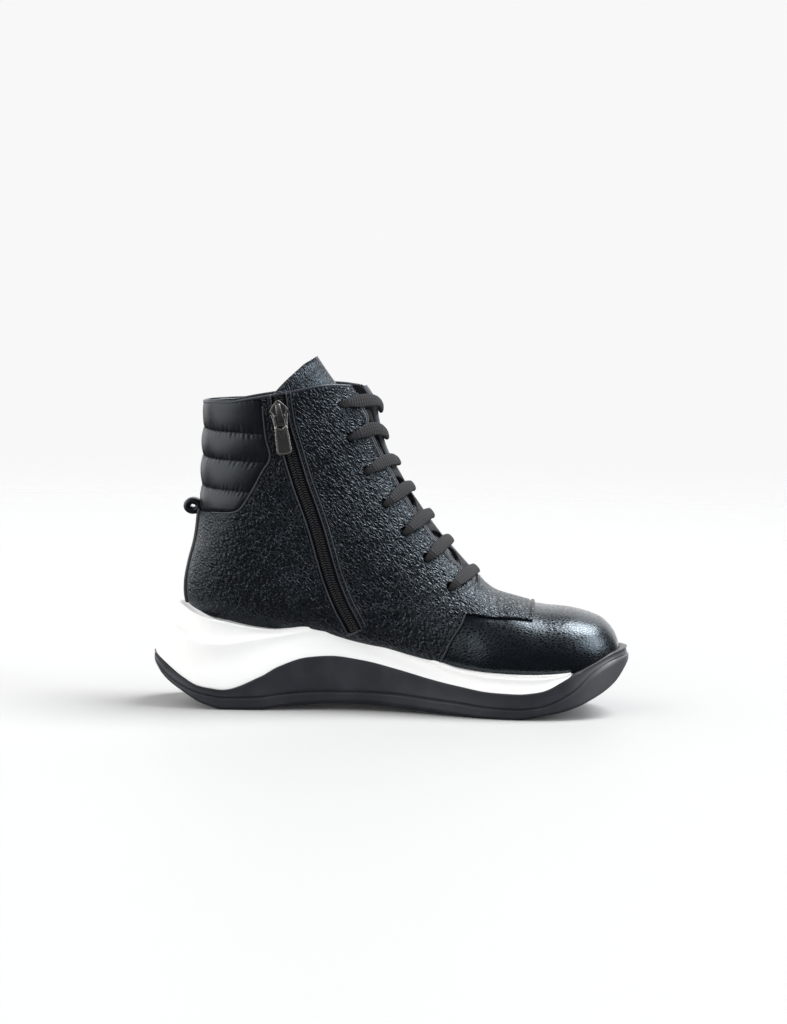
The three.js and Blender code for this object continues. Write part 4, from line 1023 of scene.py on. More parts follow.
# %% [markdown]
# ## Upper
# The toe piece, or vamp, is one shell that closes round the foot. The two quarters are one more:
# it starts at the seam, goes round the heel and ends at the collar, with the throat left open. Its
# rows and columns follow those edges, so the edges are clean lines.

# %% Vamp
last_s = np.linspace(0, LAST_END, 600)
middle_line = (last_point(last_s, 0.5) + last_point(last_s, 0.0)) / 2
last_run = run_length(middle_line)


def even_rows(start, end, shares):
    """Sections between two others, an even distance apart."""
    run = np.interp(start, last_s, last_run)
    to = np.interp(end, last_s, last_run)
    return np.interp(run + (to - run) * shares, last_run, last_s)


def close_to_ends(count, margin, rows=4):
    """Even shares with a few more near both ends, where an edge is rounded."""
    inner = np.linspace(margin, 1 - margin, count)
    near = margin * (np.linspace(0, 1, rows + 1)[:-1])**1.5
    return np.concatenate([near, inner, 1 - near[::-1]])


VAMP_COLUMNS = 230
vamp_turn = np.linspace(-1, 1, VAMP_COLUMNS, endpoint=False)[None]
vamp_shares = np.linspace(0, 1, 104)[:, None]
vamp_end = seam_at(np.abs(vamp_turn)) + 0.5
vamp_s = even_rows(0.0, vamp_end, vamp_shares)


def crease(points, folds):
    """Depth of soft troughs at points: each fold has a place, a heading and an incline
    in the side view, a length, a width and a depth."""
    depth = np.zeros(points.shape[:-1])
    for x, z, heading, long, wide, deep in folds:
        c, w = math.cos(math.radians(heading)), math.sin(math.radians(heading))
        dx, dz = points[..., 0] - x * MM, points[..., 2] - z * MM
        along, across = (dx * c + dz * w) / (long * MM), (dz * c - dx * w) / (wide * MM)
        across = across + 0.35 * along**2
        depth += deep * MM * np.exp(-along**2) * (np.exp(-across**2) - 0.45 * np.exp(-(across / 2.2)**2))
    return depth


VAMP_FOLDS = [(60, 44, -24, 14, 3.4, 0.20), (72, 40, -18, 15, 3.4, 0.18), (52, 38, -36, 12, 3.0, 0.16)]
base = last_point(vamp_s, vamp_turn)
vamp_out = -OVERLAP - crease(base, VAMP_FOLDS)
vamp = shell("vamp_leather", offset_point(vamp_s, vamp_turn, vamp_out),
             offset_point(vamp_s, vamp_turn, vamp_out - 1.5 * MM), ring=True)
dressed(vamp, vamp_finish, replaces=["upper"])

# %% Quarters
QUARTER_FOLDS = [(-18, 62, 8, 16, 3.0, 0.5), (-2, 55, 2, 18, 2.8, 0.5), (-70, 92, -62, 14, 3.0, 0.45),
                 (-84, 84, -58, 13, 2.6, 0.4), (8, 70, -38, 14, 3.0, 0.35), (-48, 100, -70, 13, 3.0, 0.35)]


def from_borders(spot, *borders):
    """How far each point of a grid is from the nearest of its border rows and columns."""
    return np.min([np.linalg.norm(spot - border, axis=-1) for border in borders], axis=0)


def quarter_grid(rows, cols, margin=0.008):
    """Sections and turns of a sheet from the seam to the collar, open at the throat. The edges of
    the throat depend on the section and the section on the turn, so a few rounds settle both."""
    u = close_to_ends(rows, margin)[:, None]
    v = close_to_ends(cols, margin)[None]
    near = far = np.full((u.shape[0], v.shape[1]), 0.15)
    for _ in range(7):
        around = near + v * (2 - near - far)
        turn = np.where(around <= 1, -around, 2 - around)
        start, end = seam_at(np.abs(turn)), collar_at(np.abs(turn))
        s = even_rows(start, end, u)
        near, far = throat_edge(s, -1), throat_edge(s, 1)
    return s, turn


def quarter_sheet(name, rows, cols, top, thickness, folds):
    """A sheet of even thickness, less its folds, that thins to a round edge all the way round."""
    s, turn = quarter_grid(rows, cols)
    spot = last_point(s, turn)
    edge = dome(from_borders(spot, spot[:1], spot[-1:], spot[:, :1], spot[:, -1:]), thickness * 0.8)
    middle = top - thickness / 2 - crease(spot, folds)
    outer = offset_point(s, turn, middle + thickness / 2 * edge)
    inner = offset_point(s, turn, middle - thickness / 2 * edge)
    return shell(name, outer, inner)


quarter = quarter_sheet("quarter_leather", 205, 190, 0.0, 1.55 * MM, QUARTER_FOLDS)
lining = quarter_sheet("quarter_lining", 80, 84, -1.6 * MM, 0.95 * MM, [])

# %% [markdown]
# The zip's slot, the recess of the collar pad and the holes for the laces are cut afterwards. Each
# cutter is a plain closed prism or rod that passes through the leather, and Blender's exact Boolean
# takes it away.

# %% Cut the slot, the recess and the lace holes


def prism(name, side_outline, low_y, high_y):
    """An outline of the side view carried across the boot."""
    flat = np.asarray(side_outline, float)
    count = len(flat)
    points = np.concatenate([np.insert(flat, 1, low_y, axis=1), np.insert(flat, 1, high_y, axis=1)])
    k = np.arange(count)
    sides = list(np.stack([k, (k + 1) % count, (k + 1) % count + count, k + count], -1))
    return as_piece(name, points, sides + [k[::-1], k + count], weld=False)


def cut(piece, cutters):
    """Takes the cutters out of a piece, and keeps the result as its mesh."""
    for cutter in cutters:
        knife = piece.modifiers.new("cut", "BOOLEAN")
        knife.operation = "DIFFERENCE"
        knife.solver = "EXACT"
        knife.object = cutter
    bpy.context.view_layer.update()
    shape = bpy.data.meshes.new_from_object(piece.evaluated_get(bpy.context.evaluated_depsgraph_get()))
    piece.modifiers.clear()
    piece.data = shape
    shape.shade_smooth()
    shape.set_sharp_from_angle(angle=math.radians(50))


def band_outline(line, half_width):
    """A band of even width along a line of the side view: out on one side and back on the other."""
    flat = spaced(side_flat(line), 2.5 * MM)
    reach = sideways(flat) * half_width
    return np.concatenate([flat + reach, (flat - reach)[::-1]])


ZIP_GAP = 9.2 * MM
slot_line = np.concatenate([ZIP_LINE, [[0.2555, 2.12]]])
slot_cutter = prism("slot_cutter", band_outline(slot_line, ZIP_GAP / 2), -LENGTH / 2, -2 * MM)
pad_corner = np.concatenate([[[0.03, 1.533], [0.131, 1.537]], PAD_FRONT, [[0.215, 2.3], [0.03, 2.3]]])
pad_front_flat = spaced(side_flat(PAD_FRONT), 2 * MM)
pad_cutter = prism("pad_cutter", np.concatenate([side_flat(pad_corner[:2]), pad_front_flat,
                                                 side_flat(pad_corner[-2:])]), -LENGTH / 2, LENGTH / 2)


HOLE_SIZE, HOLE_SHIFT = (5.4 * MM, 6.2 * MM), np.array([1.5 * MM, 0, 0.2 * MM])


def hole_rods():
    """A rod through each lace hole, along the surface's outward direction."""
    parts = []
    for side in (-1, 1):
        s, turn = find_on_side(along_x(EYELETS[:, 0]), level(EYELETS[:, 1]), side)
        for middle, way in zip(last_point(s, turn), last_normal(s, turn)):
            path = middle + np.linspace(-7, 4, 3)[:, None] * MM * way - HOLE_SHIFT
            parts.append(sweep_parts(path, np.tile([[0.0, 0.0, 1.0]], (3, 1)), oval(*HOLE_SIZE, 18)))
    points, faces, _ = joined(parts)
    return as_piece("hole_rods", points, faces, weld=False)


rods = hole_rods()
cut(quarter, [slot_cutter, pad_cutter, rods])
cut(lining, [slot_cutter, rods])
for tool in (slot_cutter, pad_cutter, rods):
    bpy.data.objects.remove(tool)
dressed(quarter, quarter_finish, replaces=["upper"])
dressed(lining, lining_finish, replaces=["upper"])

# %% [markdown]
# ## Collar pad
# Foam under soft leather, sewn through along three level lines, swells into four rolls. Each roll is
# a sine to a power below one, which stands steep at the seam and round on top. Small puckers run
# out of the seams, because the thread gathers the leather. A cloth simulation could swell the pad
# too. None was run, for want of time, so the rolls and puckers are a formula.

# %% Collar pad
PAD_ROLL, PAD_SINK = 1.7 * MM, -1.4 * MM
pad_front_at = monotone(PAD_FRONT[:, 1], PAD_FRONT[:, 0])
back_s = np.linspace(20, 28.5, 80)
back_x = monotone(last_curve["lowZ"](back_s), last_curve["lowX"](back_s))


def quilt_tilt(around):
    """How far the channels lie above their heights: they drop a little towards the front."""
    return 0.008 - 0.032 * np.abs(around) + 0.004 * np.sin(5 * around)


def pad_place(around, height):
    """Section and turn of a place on the pad, and how far it is from the pad's front. Round the
    boot its x runs from the back to the front edge as 1 minus a cosine."""
    front, back = along_x(pad_front_at(height)), back_x(level(height))
    x = back + (front - back) * (1 - np.cos(np.abs(around) * np.pi / 2))
    s, turn = find_on_side(x, level(height), np.where(around < 0, -1, 1))
    return s, turn, front - x


def pad_surface():
    """Outer and inner skin: a floor, plus the roll and the ripples of each channel, which fade out
    towards the pad's border."""
    rise = np.linspace(0, 1, 150)[:, None]
    around = np.linspace(-1, 1, 200)[None]
    bottom = 1.536 + 0.006 * np.abs(around)
    height = bottom + (2.004 + 0.012 * np.abs(around) - bottom) * rise
    s, turn, from_front = pad_place(around, height)
    lines = np.concatenate([[1.528], QUILT_LINES, [2.03]])
    tilt = quilt_tilt(around)
    within = height - tilt * ease(height, 1.56, 1.62) * (1 - ease(height, 1.93, 1.99))
    k = np.clip(np.searchsorted(lines, within, side="right") - 1, 0, len(lines) - 2)
    share = np.clip((within - lines[k]) / (lines[k + 1] - lines[k]), 0, 1)
    roll = np.sin(np.pi * share) ** 0.62
    seam_near = np.exp(-(np.minimum(share, 1 - share) / 0.16)**2)
    ripple = (np.sin(around * 133 + height * 9) + 0.7 * np.sin(around * 97 + 2 + k * 2.1)
              + 0.6 * np.sin(around * 41 + k)) * 0.14 * MM
    border = dome(from_front / MM, 5.0) * dome(rise * 64, 2.5)
    swell = PAD_SINK + (PAD_ROLL * roll + ripple * seam_near) * border
    middle = 0.35 * MM * np.sin(around * 7 + k * 1.7) * roll * border
    return offset_point(s, turn, swell + middle * 0.5), offset_point(s, turn, -1.5 * MM)


pad = shell("collar_pad_quilted", *pad_surface())
dressed(pad, pad_finish, replaces=["collar_pad"])

# %% [markdown]
# ## Tongue
# The tongue is a thin pad that fills the throat and stands above the collar as a rounded flap. It
# is a strip bent round the instep, thick in the middle and thin at its wings.

# %% Tongue
TONGUE = columns(["x", "z", "half", "depth"], [
    [0.730, 1.165, 0.40, 0.16], [0.686, 1.237, 0.42, 0.20], [0.657, 1.302, 0.44, 0.24],
    [0.623, 1.378, 0.46, 0.28], [0.588, 1.460, 0.47, 0.32], [0.554, 1.547, 0.48, 0.36],
    [0.521, 1.637, 0.49, 0.40], [0.493, 1.727, 0.50, 0.44], [0.464, 1.820, 0.51, 0.48],
    [0.436, 1.914, 0.52, 0.52], [0.404, 2.007, 0.52, 0.64], [0.368, 2.101, 0.52, 1.20],
    [0.345, 2.165, 0.46, 0.74], [0.334, 2.198, 0.28, 0.18]])
TONGUE_TURN, TONGUE_THICK = 1.35, 5 * MM


def tongue_surface():
    """Front and back skin. Across, the tongue is an arc of half angle TONGUE_TURN, which sags back
    by its cosine. Below the collar its wings stay inside the boot."""
    rows = len(TONGUE["x"]) - 1
    v = np.linspace(0, rows, 150)[:, None]
    a = np.linspace(-1, 1, 56)[None]
    x, z = rounded(along_x(TONGUE["x"])), rounded(level(TONGUE["z"]))
    half, depth = (rounded(TONGUE[name] * BALL_WIDTH / 2) for name in ("half", "depth"))
    step = np.stack([x(np.minimum(v + 0.3, rows)) - x(np.maximum(v - 0.3, 0)),
                     z(np.minimum(v + 0.3, rows)) - z(np.maximum(v - 0.3, 0))], -1)
    step = unit(step)
    back = np.stack([-step[..., 1], step[..., 0]], -1)
    end = dome((rows - v) * 9, 5.0)
    skins = []
    for inner in (0, 1):
        angle = a * TONGUE_TURN
        puff = 1 + 0.12 * np.sin(v * 2.2) * np.cos(a * 1.5)
        thick = inner * TONGUE_THICK * (0.35 + 0.65 * np.sqrt(np.maximum(1 - a * a, 0))) * end * puff
        sag = depth(v) * (1 - np.cos(angle)) / (1 - math.cos(TONGUE_TURN))
        reach = sag + thick * np.maximum(np.cos(angle), 0.3)
        y = half(v) * np.sin(angle) / math.sin(TONGUE_TURN) - inner * np.sin(angle) * TONGUE_THICK * 0.6 * end
        px = np.broadcast_to(x(v) + back[..., 0] * reach, y.shape)
        pz = np.broadcast_to(z(v) + back[..., 1] * reach, y.shape)
        side = np.where(a < 0, -1, 1)
        s, turn = find_on_side(px, pz, side)
        s = np.minimum(s, LAST_END)
        room = offset_point(s, turn, -3.1 * MM - inner * 1.4 * MM)
        limit = np.maximum(np.abs(room[..., 1]), 1 * MM)
        held = 1 - ease(v, 10.6, 12.0)
        free = np.abs(a) < 0.3
        y_held = np.sign(y) * np.minimum(np.abs(y), limit)
        y = np.where(free, y, y + (y_held - y) * held)
        skins.append(np.stack([px, y, pz], -1))
    return skins


tongue = shell("tongue_pad", *tongue_surface())
dressed(tongue, tongue_finish, replaces=["tongue"])

# %% [markdown]
# ## Overlays on the vamp and heel
# The toe tab is a patch of the same grained leather, turned under at its edges and sewn down. The
# heel strip is a narrow glossy band up the back seam, and the pull loop is a folded strip above it.

# %% Toe tab, heel strip and pull loop


def halved(function, low, high, rounds=34):
    """Where a rising function crosses nought, by halving the range."""
    for _ in range(rounds):
        middle = (low + high) / 2
        over = function(middle) > 0
        low, high = np.where(over, low, middle), np.where(over, middle, high)
    return (low + high) / 2


TAB_WIDTH, TAB_FRONT = 75 * MM, 0.802


def tab_surface():
    """Columns run from side to side, and rows from the seam to the front edge. Some rounds settle
    the sections, because the turn depends on them. The hem is raised, with a channel inside it."""
    across = close_to_ends(70, 0.02)[None] * 2 - 1
    forward = close_to_ends(54, 0.03)[:, None]
    shape = (forward.shape[0], across.shape[1])
    reach = across * TAB_WIDTH / 2 * (1 - 0.13 * forward)
    s = np.full(shape, 7.5)
    front = along_x(TAB_FRONT) - 1.4 * MM * across**2
    for _ in range(8):
        turn = np.sign(reach) * turn_at_width(s, np.abs(reach))
        seam = last_point(seam_at(np.abs(turn)) + 0.12, turn)[..., 0]
        x = seam + (front - seam) * forward
        s = halved(lambda value: x - last_point(value, turn)[..., 0], np.full(shape, 3.0),
                   np.full(shape, 11.0))
    spot = last_point(s, turn)
    from_edge = from_borders(spot, spot[:, :1], spot[:, -1:], spot[-1:])
    raised = dome(from_edge, 0.7 * MM)
    hem = 0.45 * MM * (1 - ease(from_edge, 1.6 * MM, 2.4 * MM)) * raised
    channel = 0.85 * MM * np.exp(-((from_edge - 2.7 * MM) / (0.5 * MM))**2)
    top = -OVERLAP - 0.2 * MM + 1.25 * MM * raised + hem - channel
    return offset_point(s, turn, top), offset_point(s, turn, -OVERLAP - 0.3 * MM)


tab = shell("toe_tab_leather", *tab_surface())
dressed(tab, quarter_finish, replaces=["toe_tab"])


STRIP_HALF, STRIP_LOW, STRIP_TOP = 6.5 * MM, 1.06, 1.545


def back_section(height, low, high):
    """The section whose low end, at the back of the heel, is at a height."""
    return halved(lambda s: last_curve["lowZ"](s) - level(height), np.full(1, low), np.full(1, high))[0]


def strip_surface():
    """A band of even width up the back, domed towards its sides and its top end."""
    across = np.linspace(-1, 1, 29)[None]
    s_top = back_section(STRIP_TOP, 19.0, 26.0)
    s = np.linspace(back_section(STRIP_LOW, 16.0, 20.0), s_top, 90)[:, None]
    reach = across * STRIP_HALF
    turn = np.sign(reach) * turn_at_width(s, np.abs(reach), front=False)
    turn = np.where(reach == 0, 1.0, turn)
    edge = dome(STRIP_HALF - np.abs(reach), 1.6 * MM) * dome((s_top - s) * 12, 1.6)
    top = 0.1 * MM + 1.55 * MM * edge
    return offset_point(s, turn, top), offset_point(s, turn, -0.2 * MM)


strip = shell("heel_strip_leather", *strip_surface())
dressed(strip, pad_finish, replaces=["heel_strip"])


def loop_ring():
    """An upright oval of folded strip, carried round and closed on itself."""
    angle = np.arange(48) * 2 * np.pi / 48
    middle = np.array([last_point(23.2, 1.0)[0] - 4.1 * MM, 0, level(1.553)])
    normals = np.stack([np.cos(angle), np.zeros(48), np.sin(angle)], -1)
    path = middle + normals * np.array([3.5, 0, 2.9]) * MM
    return sweep_parts(path, normals, oval(12 * MM, 4.3 * MM, 20), closed=True)


pull_loop = as_piece("pull_loop_leather", *loop_ring())
dressed(pull_loop, pad_finish, replaces=["pull_loop"])

# %% [markdown]
# ## Laces
# Flat cord runs level across the throat seven times. Each bar lies on the facings, and dives into
# its holes, where it is pinched narrow. Behind the bars the cord crosses from side to side.

# %% Laces
LACE_WIDTH, LACE_THICK = 7.8 * MM, 1.9 * MM


def bar_places(k):
    """Section and turn of a bar's inner hole, and the section where the bar crosses the throat."""
    hole_s, hole_turn = find_on_side(along_x(EYELETS[k, 0]), level(EYELETS[k, 1]), -1)
    return hole_s, hole_turn, find_on_side(along_x(BAR_TOPS[k, 0]), level(BAR_TOPS[k, 1]), -1)[0]


def lace_bar(k):
    """A bar over the throat: a runs from -1 at one hole to 1 at the other, and a little past both,
    where the cord dives, narrows and thickens."""
    hole_s, hole_turn, top_s = bar_places(k)
    a = np.linspace(-1.04, 1.04, 74)
    share = np.abs(a)
    s = top_s + (hole_s - top_s) * np.minimum(share, 1)**np.where(a > 0, 2.8, 1.35)
    turn = hole_turn * a * -1
    dive = ease(share, 0.87, 1.04)
    height = 1.25 * MM - dive**1.6 * 4.8 * MM
    over = np.exp(-(a / 0.26)**2)
    pinch = 1 - 0.42 * ease(share, 0.72, 1.0) - 0.18 * over - 0.30 * ease(a, 0.12, 0.45)
    size = np.stack([pinch, 1 + 0.35 * ease(share, 0.75, 1.0) + 0.75 * over], -1)
    wobble = 1 + 0.03 * np.sin(a * 9 + k * 1.9)
    return sweep_parts(offset_point(s, turn, height), last_normal(s, turn),
                       oval(LACE_WIDTH, LACE_THICK, 16), size * wobble[:, None])


def lace_cross(k):
    """The run behind two bars, from one side of the throat to the other."""
    side = 1 if k % 2 else -1
    (_, turn_0, s_0), (_, turn_1, s_1) = bar_places(k), bar_places(k + 1)
    share = np.linspace(0, 1, 30)
    s = s_0 + (s_1 - s_0) * share
    reach = 0.62 * side * (1 - 2 * share)
    turn = reach * (abs(turn_0) + (abs(turn_1) - abs(turn_0)) * share)
    height = ((-4.8 if k < 2 else -1.7) - 0.9 * np.abs(reach / 0.62)**3) * MM
    return sweep_parts(offset_point(s, turn, height), last_normal(s, turn),
                       oval(LACE_WIDTH * 0.85, LACE_THICK * 0.9, 12))


BARS = len(EYELETS)
lace_runs = [lace_bar(k) for k in range(BARS)] + [lace_cross(k) for k in range(BARS - 1)]
laces = as_piece("laces_flat", *joined(lace_runs), weld=False)
dressed(laces, lace_finish, replaces=["laces"])

# %% [markdown]
# ## Zip
# The tape shows in the slot, with a nylon coil down its middle. The coil is two rows of small hooks
# that mesh. The slider is a pear-shaped body with a bridge, and its tab hangs from the bridge. Only
# the tab is loose, so it rides on its own body.

# %% Zip tape and coil


TAPE_HALF = 10.3 * MM


def tape_surface():
    """A band along the zip, raised under the coil, with a woven cord on both sides of it."""
    flat = spaced(side_flat(ZIP_LINE), 1.2 * MM)
    across = np.linspace(-1, 1, 26)
    spots = flat[:, None] + sideways(flat)[:, None] * (across[None, :, None] * TAPE_HALF)
    s, turn = find_on_side(spots[..., 0], spots[..., 1], -1)
    cord = 0.5 * MM * np.exp(-((np.abs(across) - 0.3) / 0.05)**2)[None]
    raised = 1.0 * MM * (1 - ease(np.abs(across), 0.36, 0.46))[None]
    outer = offset_point(s, turn, -2.75 * MM + cord + raised)
    uv = np.stack(np.broadcast_arrays(run_length(flat)[:, None], across[None] * TAPE_HALF), -1)
    return outer, offset_point(s, turn, -3.7 * MM), uv


tape_outer, tape_inner, tape_uv = tape_surface()
tape = shell("zip_tape_cloth", tape_outer, tape_inner, uv=tape_uv)
dressed(tape, tape_finish, replaces=["zip_tape"])


def bead_template(sides=8, rings=5):
    """A small rounded pod of unit length, width and height: its girth falls to nought at the ends."""
    t = np.linspace(-1, 1, rings + 2)[1:-1]
    angle = np.arange(sides) * 2 * np.pi / sides
    girth = np.sqrt(1 - np.abs(t)**2.6)[:, None]
    body = np.stack([np.broadcast_to(t[:, None] / 2, (rings, sides)), girth * np.cos(angle) / 2,
                     girth * np.sin(angle) / 2], -1).reshape(-1, 3)
    return np.concatenate([body, [[-0.5, 0, 0], [0.5, 0, 0]]]), fan_ends(rings, sides)


def scattered(places, along, outward, size):
    """A pod at each place, turned along a direction; size is its length, width and height."""
    points, faces = bead_template()
    across = unit(np.cross(outward, along))
    up_way = np.cross(along, across)
    local = points[None] * np.asarray(size, float).reshape(-1, 1, 3)
    world = (places[:, None] + local[..., :1] * along[:, None] + local[..., 1:2] * across[:, None]
             + local[..., 2:] * up_way[:, None])
    count = len(points)
    all_faces = [face + k * count for k in range(len(places)) for face in faces]
    return world.reshape(-1, 3), all_faces, np.zeros((count * len(places), 2))


def coil():
    """Hooks of the two rows, set across the zip and slanted a little, half a pitch apart."""
    parts = []
    for row in (-1, 1):
        line = beside(ZIP_LINE, row * 1.35 * MM)
        places, outward = on_side(line, -1, -0.9 * MM, step=1.45 * MM)
        way = tangents(places)
        if row > 0:
            places = places + way * 0.72 * MM
        across = unit(np.cross(outward, way) + way * 0.3 * row)
        parts.append(scattered(places, across, outward, (3.1 * MM, 0.9 * MM, 1.8 * MM)))
    return joined(parts)


coil_points, coil_faces, _ = coil()
zip_coil = as_piece("zip_coil", coil_points, coil_faces, weld=False)
dressed(zip_coil, coil_finish, replaces=["zip_teeth"])

# %% Slider and tab
slider_s, slider_turn = find_on_side(along_x(0.2645), level(1.957), -1)
zip_way = np.array([along_x(0.261) - along_x(0.271), 0, level(2.043) - level(1.914)])
zip_out = last_normal(slider_s, slider_turn)
zip_up = unit(zip_way - zip_out * (zip_way @ zip_out))
zip_across = np.cross(zip_up, zip_out)
slider_spot = last_point(slider_s, slider_turn)


def at_slider(points):
    """Local across, up the zip and out of the boot, to places in the frame."""
    points = np.asarray(points, float)
    return slider_spot + points[..., :1] * zip_across + points[..., 1:2] * zip_up + points[..., 2:] * zip_out


def plate(outline, steps):
    """A flat casting: its outline drawn in or out by each step's inset, at each step's height. The
    first and last steps are closed with a fan."""
    outline = np.asarray(outline, float)
    way = tangents(outline, closed=True)
    inner_way = np.stack([-way[:, 1], way[:, 0]], -1)
    middle = outline.mean(0)
    if ((middle - outline) * inner_way).sum() < 0:
        inner_way = -inner_way
    rings = [np.concatenate([outline + inner_way * inset, np.full((len(outline), 1), height)], -1)
             for inset, height in steps]
    points = np.concatenate(rings + [[[*middle, steps[0][1]], [*middle, steps[-1][1]]]])
    return at_slider(points), fan_ends(len(rings), len(outline)), np.zeros((len(points), 2))


def smooth_outline(points, count=72):
    """A closed outline with rounded corners through a few points."""
    points = np.asarray(points, float)
    loop_points = np.concatenate([points[-2:], points, points[:3]])
    curve = smoothed(loop_points, np.linspace(2, len(points) + 2, count * 6, endpoint=False))
    closed = np.concatenate([curve, curve[:1]])
    done = run_length(closed)
    return read_at(np.linspace(0, done[-1], count, endpoint=False), done, closed)


PEAR = np.array([[-3.2, -7.0], [0, -7.2], [3.2, -7.0], [3.8, -3.8], [4.6, 0.0], [5.5, 2.0], [4.9, 3.9],
                 [2.4, 6.9], [0, 8.7], [-2.4, 6.9], [-4.9, 3.9], [-5.5, 2.0], [-4.6, 0.0],
                 [-3.8, -3.8]]) * MM
HINGE_UP, HINGE_OUT, TAB_HALF_THICK = -0.42 * MM, 3.15 * MM, 0.62 * MM


def slider_parts():
    """The pear-shaped body, an arched bridge over it, a wall on either side and a stem below."""
    body = plate(smooth_outline(PEAR), [(0.7 * MM, -0.2 * MM), (0.1 * MM, 0.1 * MM), (0.0, 0.6 * MM),
                                        (0.0, 1.35 * MM), (0.22 * MM, 1.75 * MM), (0.55 * MM, 1.9 * MM),
                                        (0.95 * MM, 1.85 * MM), (1.25 * MM, 1.5 * MM), (1.7 * MM, 1.42 * MM)])
    share = np.linspace(0, 1, 34)
    rise = np.sin(np.pi * share) ** 0.42
    local = np.stack([(0.9 * share - 0.3) * MM, (6.4 - 11.2 * share) * MM, (0.9 + 3.35 * rise) * MM], -1)
    way = tangents(local)
    outward = np.cross(np.array([1.0, 0, 0]), way)
    taper = np.stack([1 + 0.25 * share, np.ones(34)], -1)
    bridge = sweep_parts(at_slider(local), at_slider(outward) - slider_spot, oval(3.0 * MM, 1.15 * MM, 12),
                         taper)
    parts = [body, bridge]
    for side in (-1, 1):
        wall_path = np.array([[side * 3.6, -6.6, 0.2], [side * 4.0, -3.4, 0.2], [side * 4.6, 0.5, 0.2]]) * MM
        wall_path = spaced(wall_path, 0.8 * MM)
        parts.append(sweep_parts(at_slider(wall_path), np.tile(zip_out, (len(wall_path), 1)),
                                 oval(1.0 * MM, 2.4 * MM, 8)))
    stem_path = at_slider(np.array([[0, 3.0, -2.2], [0, 3.0, 0.6]]) * MM)
    parts.append(sweep_parts(stem_path, np.tile(zip_up, (2, 1)), oval(2.4 * MM, 4.0 * MM, 10)))
    return joined(parts)


def mirrored(half):
    """The other half of an outline, from its middle back to its start."""
    return [[-x, y] for x, y in half[::-1]]


def tab_parts():
    """The tab: a flaring plate with a raised border, hung by two short legs and a rod."""
    top, wide, long, start, corner = 3.5, 4.35, 22.5, 6.6, 1.0
    flank = [[-top - 0.2, -start], [-wide, -long * 0.8], [-wide, -long + corner * 1.4],
             [-wide + corner, -long]]
    notch = [[top * 0.62, -start + 0.05], [0, -start - 0.9], [-top * 0.62, -start + 0.05]]
    border = flank + [[0, -long - 0.3]] + mirrored(flank) + notch
    outline = smooth_outline(np.array(border) * MM, 96) + np.array([0, HINGE_UP])
    rim = np.array([[1.2, 0.3], [0.95, 0.28], [0.8, 0.03], [0.35, 0.0], [0.08, 0.2], [0.0, 0.5]]) * MM
    low, high = HINGE_OUT - TAB_HALF_THICK, HINGE_OUT + TAB_HALF_THICK
    body = plate(outline, [(inset, low + rise) for inset, rise in rim]
                 + [(inset, high - rise) for inset, rise in rim[::-1]])
    leg = [[-top + 0.2, -start - 0.5], [-top + 0.45, -3.2], [-top + 0.55, -0.6], [-top + 1.2, 0.0]]
    wire_line = np.array(leg + [[0, 0.1]] + mirrored(leg)) * MM
    path = spaced(wire_line, 0.5 * MM) + np.array([0, HINGE_UP])
    path = np.concatenate([path, np.full((len(path), 1), HINGE_OUT)], -1)
    wire = sweep_parts(at_slider(path), np.tile(zip_out, (len(path), 1)), oval(1.15 * MM, 1.2 * MM, 10))
    return joined([body, wire])


slider_piece = as_piece("zip_slider_cast", *slider_parts(), sharp=38, weld=False)
dressed(slider_piece, metal_finish, replaces=["zip_slider"])
zip_tab = as_piece("zip_tab_cast", *tab_parts(), sharp=38, weld=False)
dressed(zip_tab, metal_finish, body="zip_tab", replaces=["zip_pull"])

# %% [markdown]
# ## Edges and stitches
# A folded leather edge is a small round bead, and next to it runs a line of stitches. Both are laid
# on the boot from lines in the side view, so they follow every curve of the leather.

# %% Beads along the edges


def collar_path(first, last_turn, drop, offset, count=150):
    """A line round the collar at a drop below its edge, from one turn to another by the back."""
    around = np.linspace(first, 2 - last_turn, count)
    turn = np.where(around <= 1, -around, 2 - around)
    s = collar_at(np.abs(turn))
    return offset_point(s, turn, offset) - np.array([0, 0, drop]), last_normal(s, turn)


def throat_path(side, inset, offset, low=9.0, count=110):
    """A line beside the throat's edge, from its foot to the collar."""
    s = np.linspace(low, 21.35, count)
    edge = throat_edge(s, side)
    middle = offset_point(s, side * edge, offset)
    further = offset_point(s, side * (edge + 0.02), offset)
    return middle + unit(further - middle) * inset, last_normal(s, side * edge)


PAD_EDGE = np.concatenate([PAD_FRONT[:-1], [[0.229, 1.99]]])


def beads():
    """A bead round the collar, and up each seam, each side of the pad, the zip's slot and its foot."""
    parts = []
    path, normals = collar_path(0.158, 0.115, 0.1 * MM, -1.25 * MM)
    parts.append(sweep_parts(path, np.tile([[0, 0, 1.0]], (len(path), 1)), oval(2.9 * MM, 1.7 * MM, 12)))
    for side in (-1, 1):
        path, normals = on_side(QUARTER_SEAM, side, -0.25 * MM, step=1.0 * MM)
        parts.append(sweep_parts(path, normals, oval(1.1 * MM, 1.5 * MM, 10)))
        front = np.concatenate([[[0.125, 1.537]], PAD_EDGE])
        path, normals = on_side(front, side, 0.0, step=1.0 * MM)
        parts.append(sweep_parts(path, normals, oval(1.1 * MM, 1.3 * MM, 10)))
    zip_bead = oval(0.95 * MM, 1.3 * MM, 10)
    for reach in (-ZIP_GAP / 2, ZIP_GAP / 2, ZIP_GAP / 2 + 2.5 * MM):
        path, normals = on_side(beside(ZIP_LINE, reach), -1, -0.15 * MM, step=1.0 * MM)
        parts.append(sweep_parts(path, normals, zip_bead))
    start, end = (beside(ZIP_LINE, reach)[0] for reach in (-ZIP_GAP / 2, ZIP_GAP / 2))
    path, normals = on_side(np.array([start, (start + end) / 2, end]), -1, -0.15 * MM, step=0.8 * MM)
    parts.append(sweep_parts(path, normals, zip_bead))
    return joined(parts)


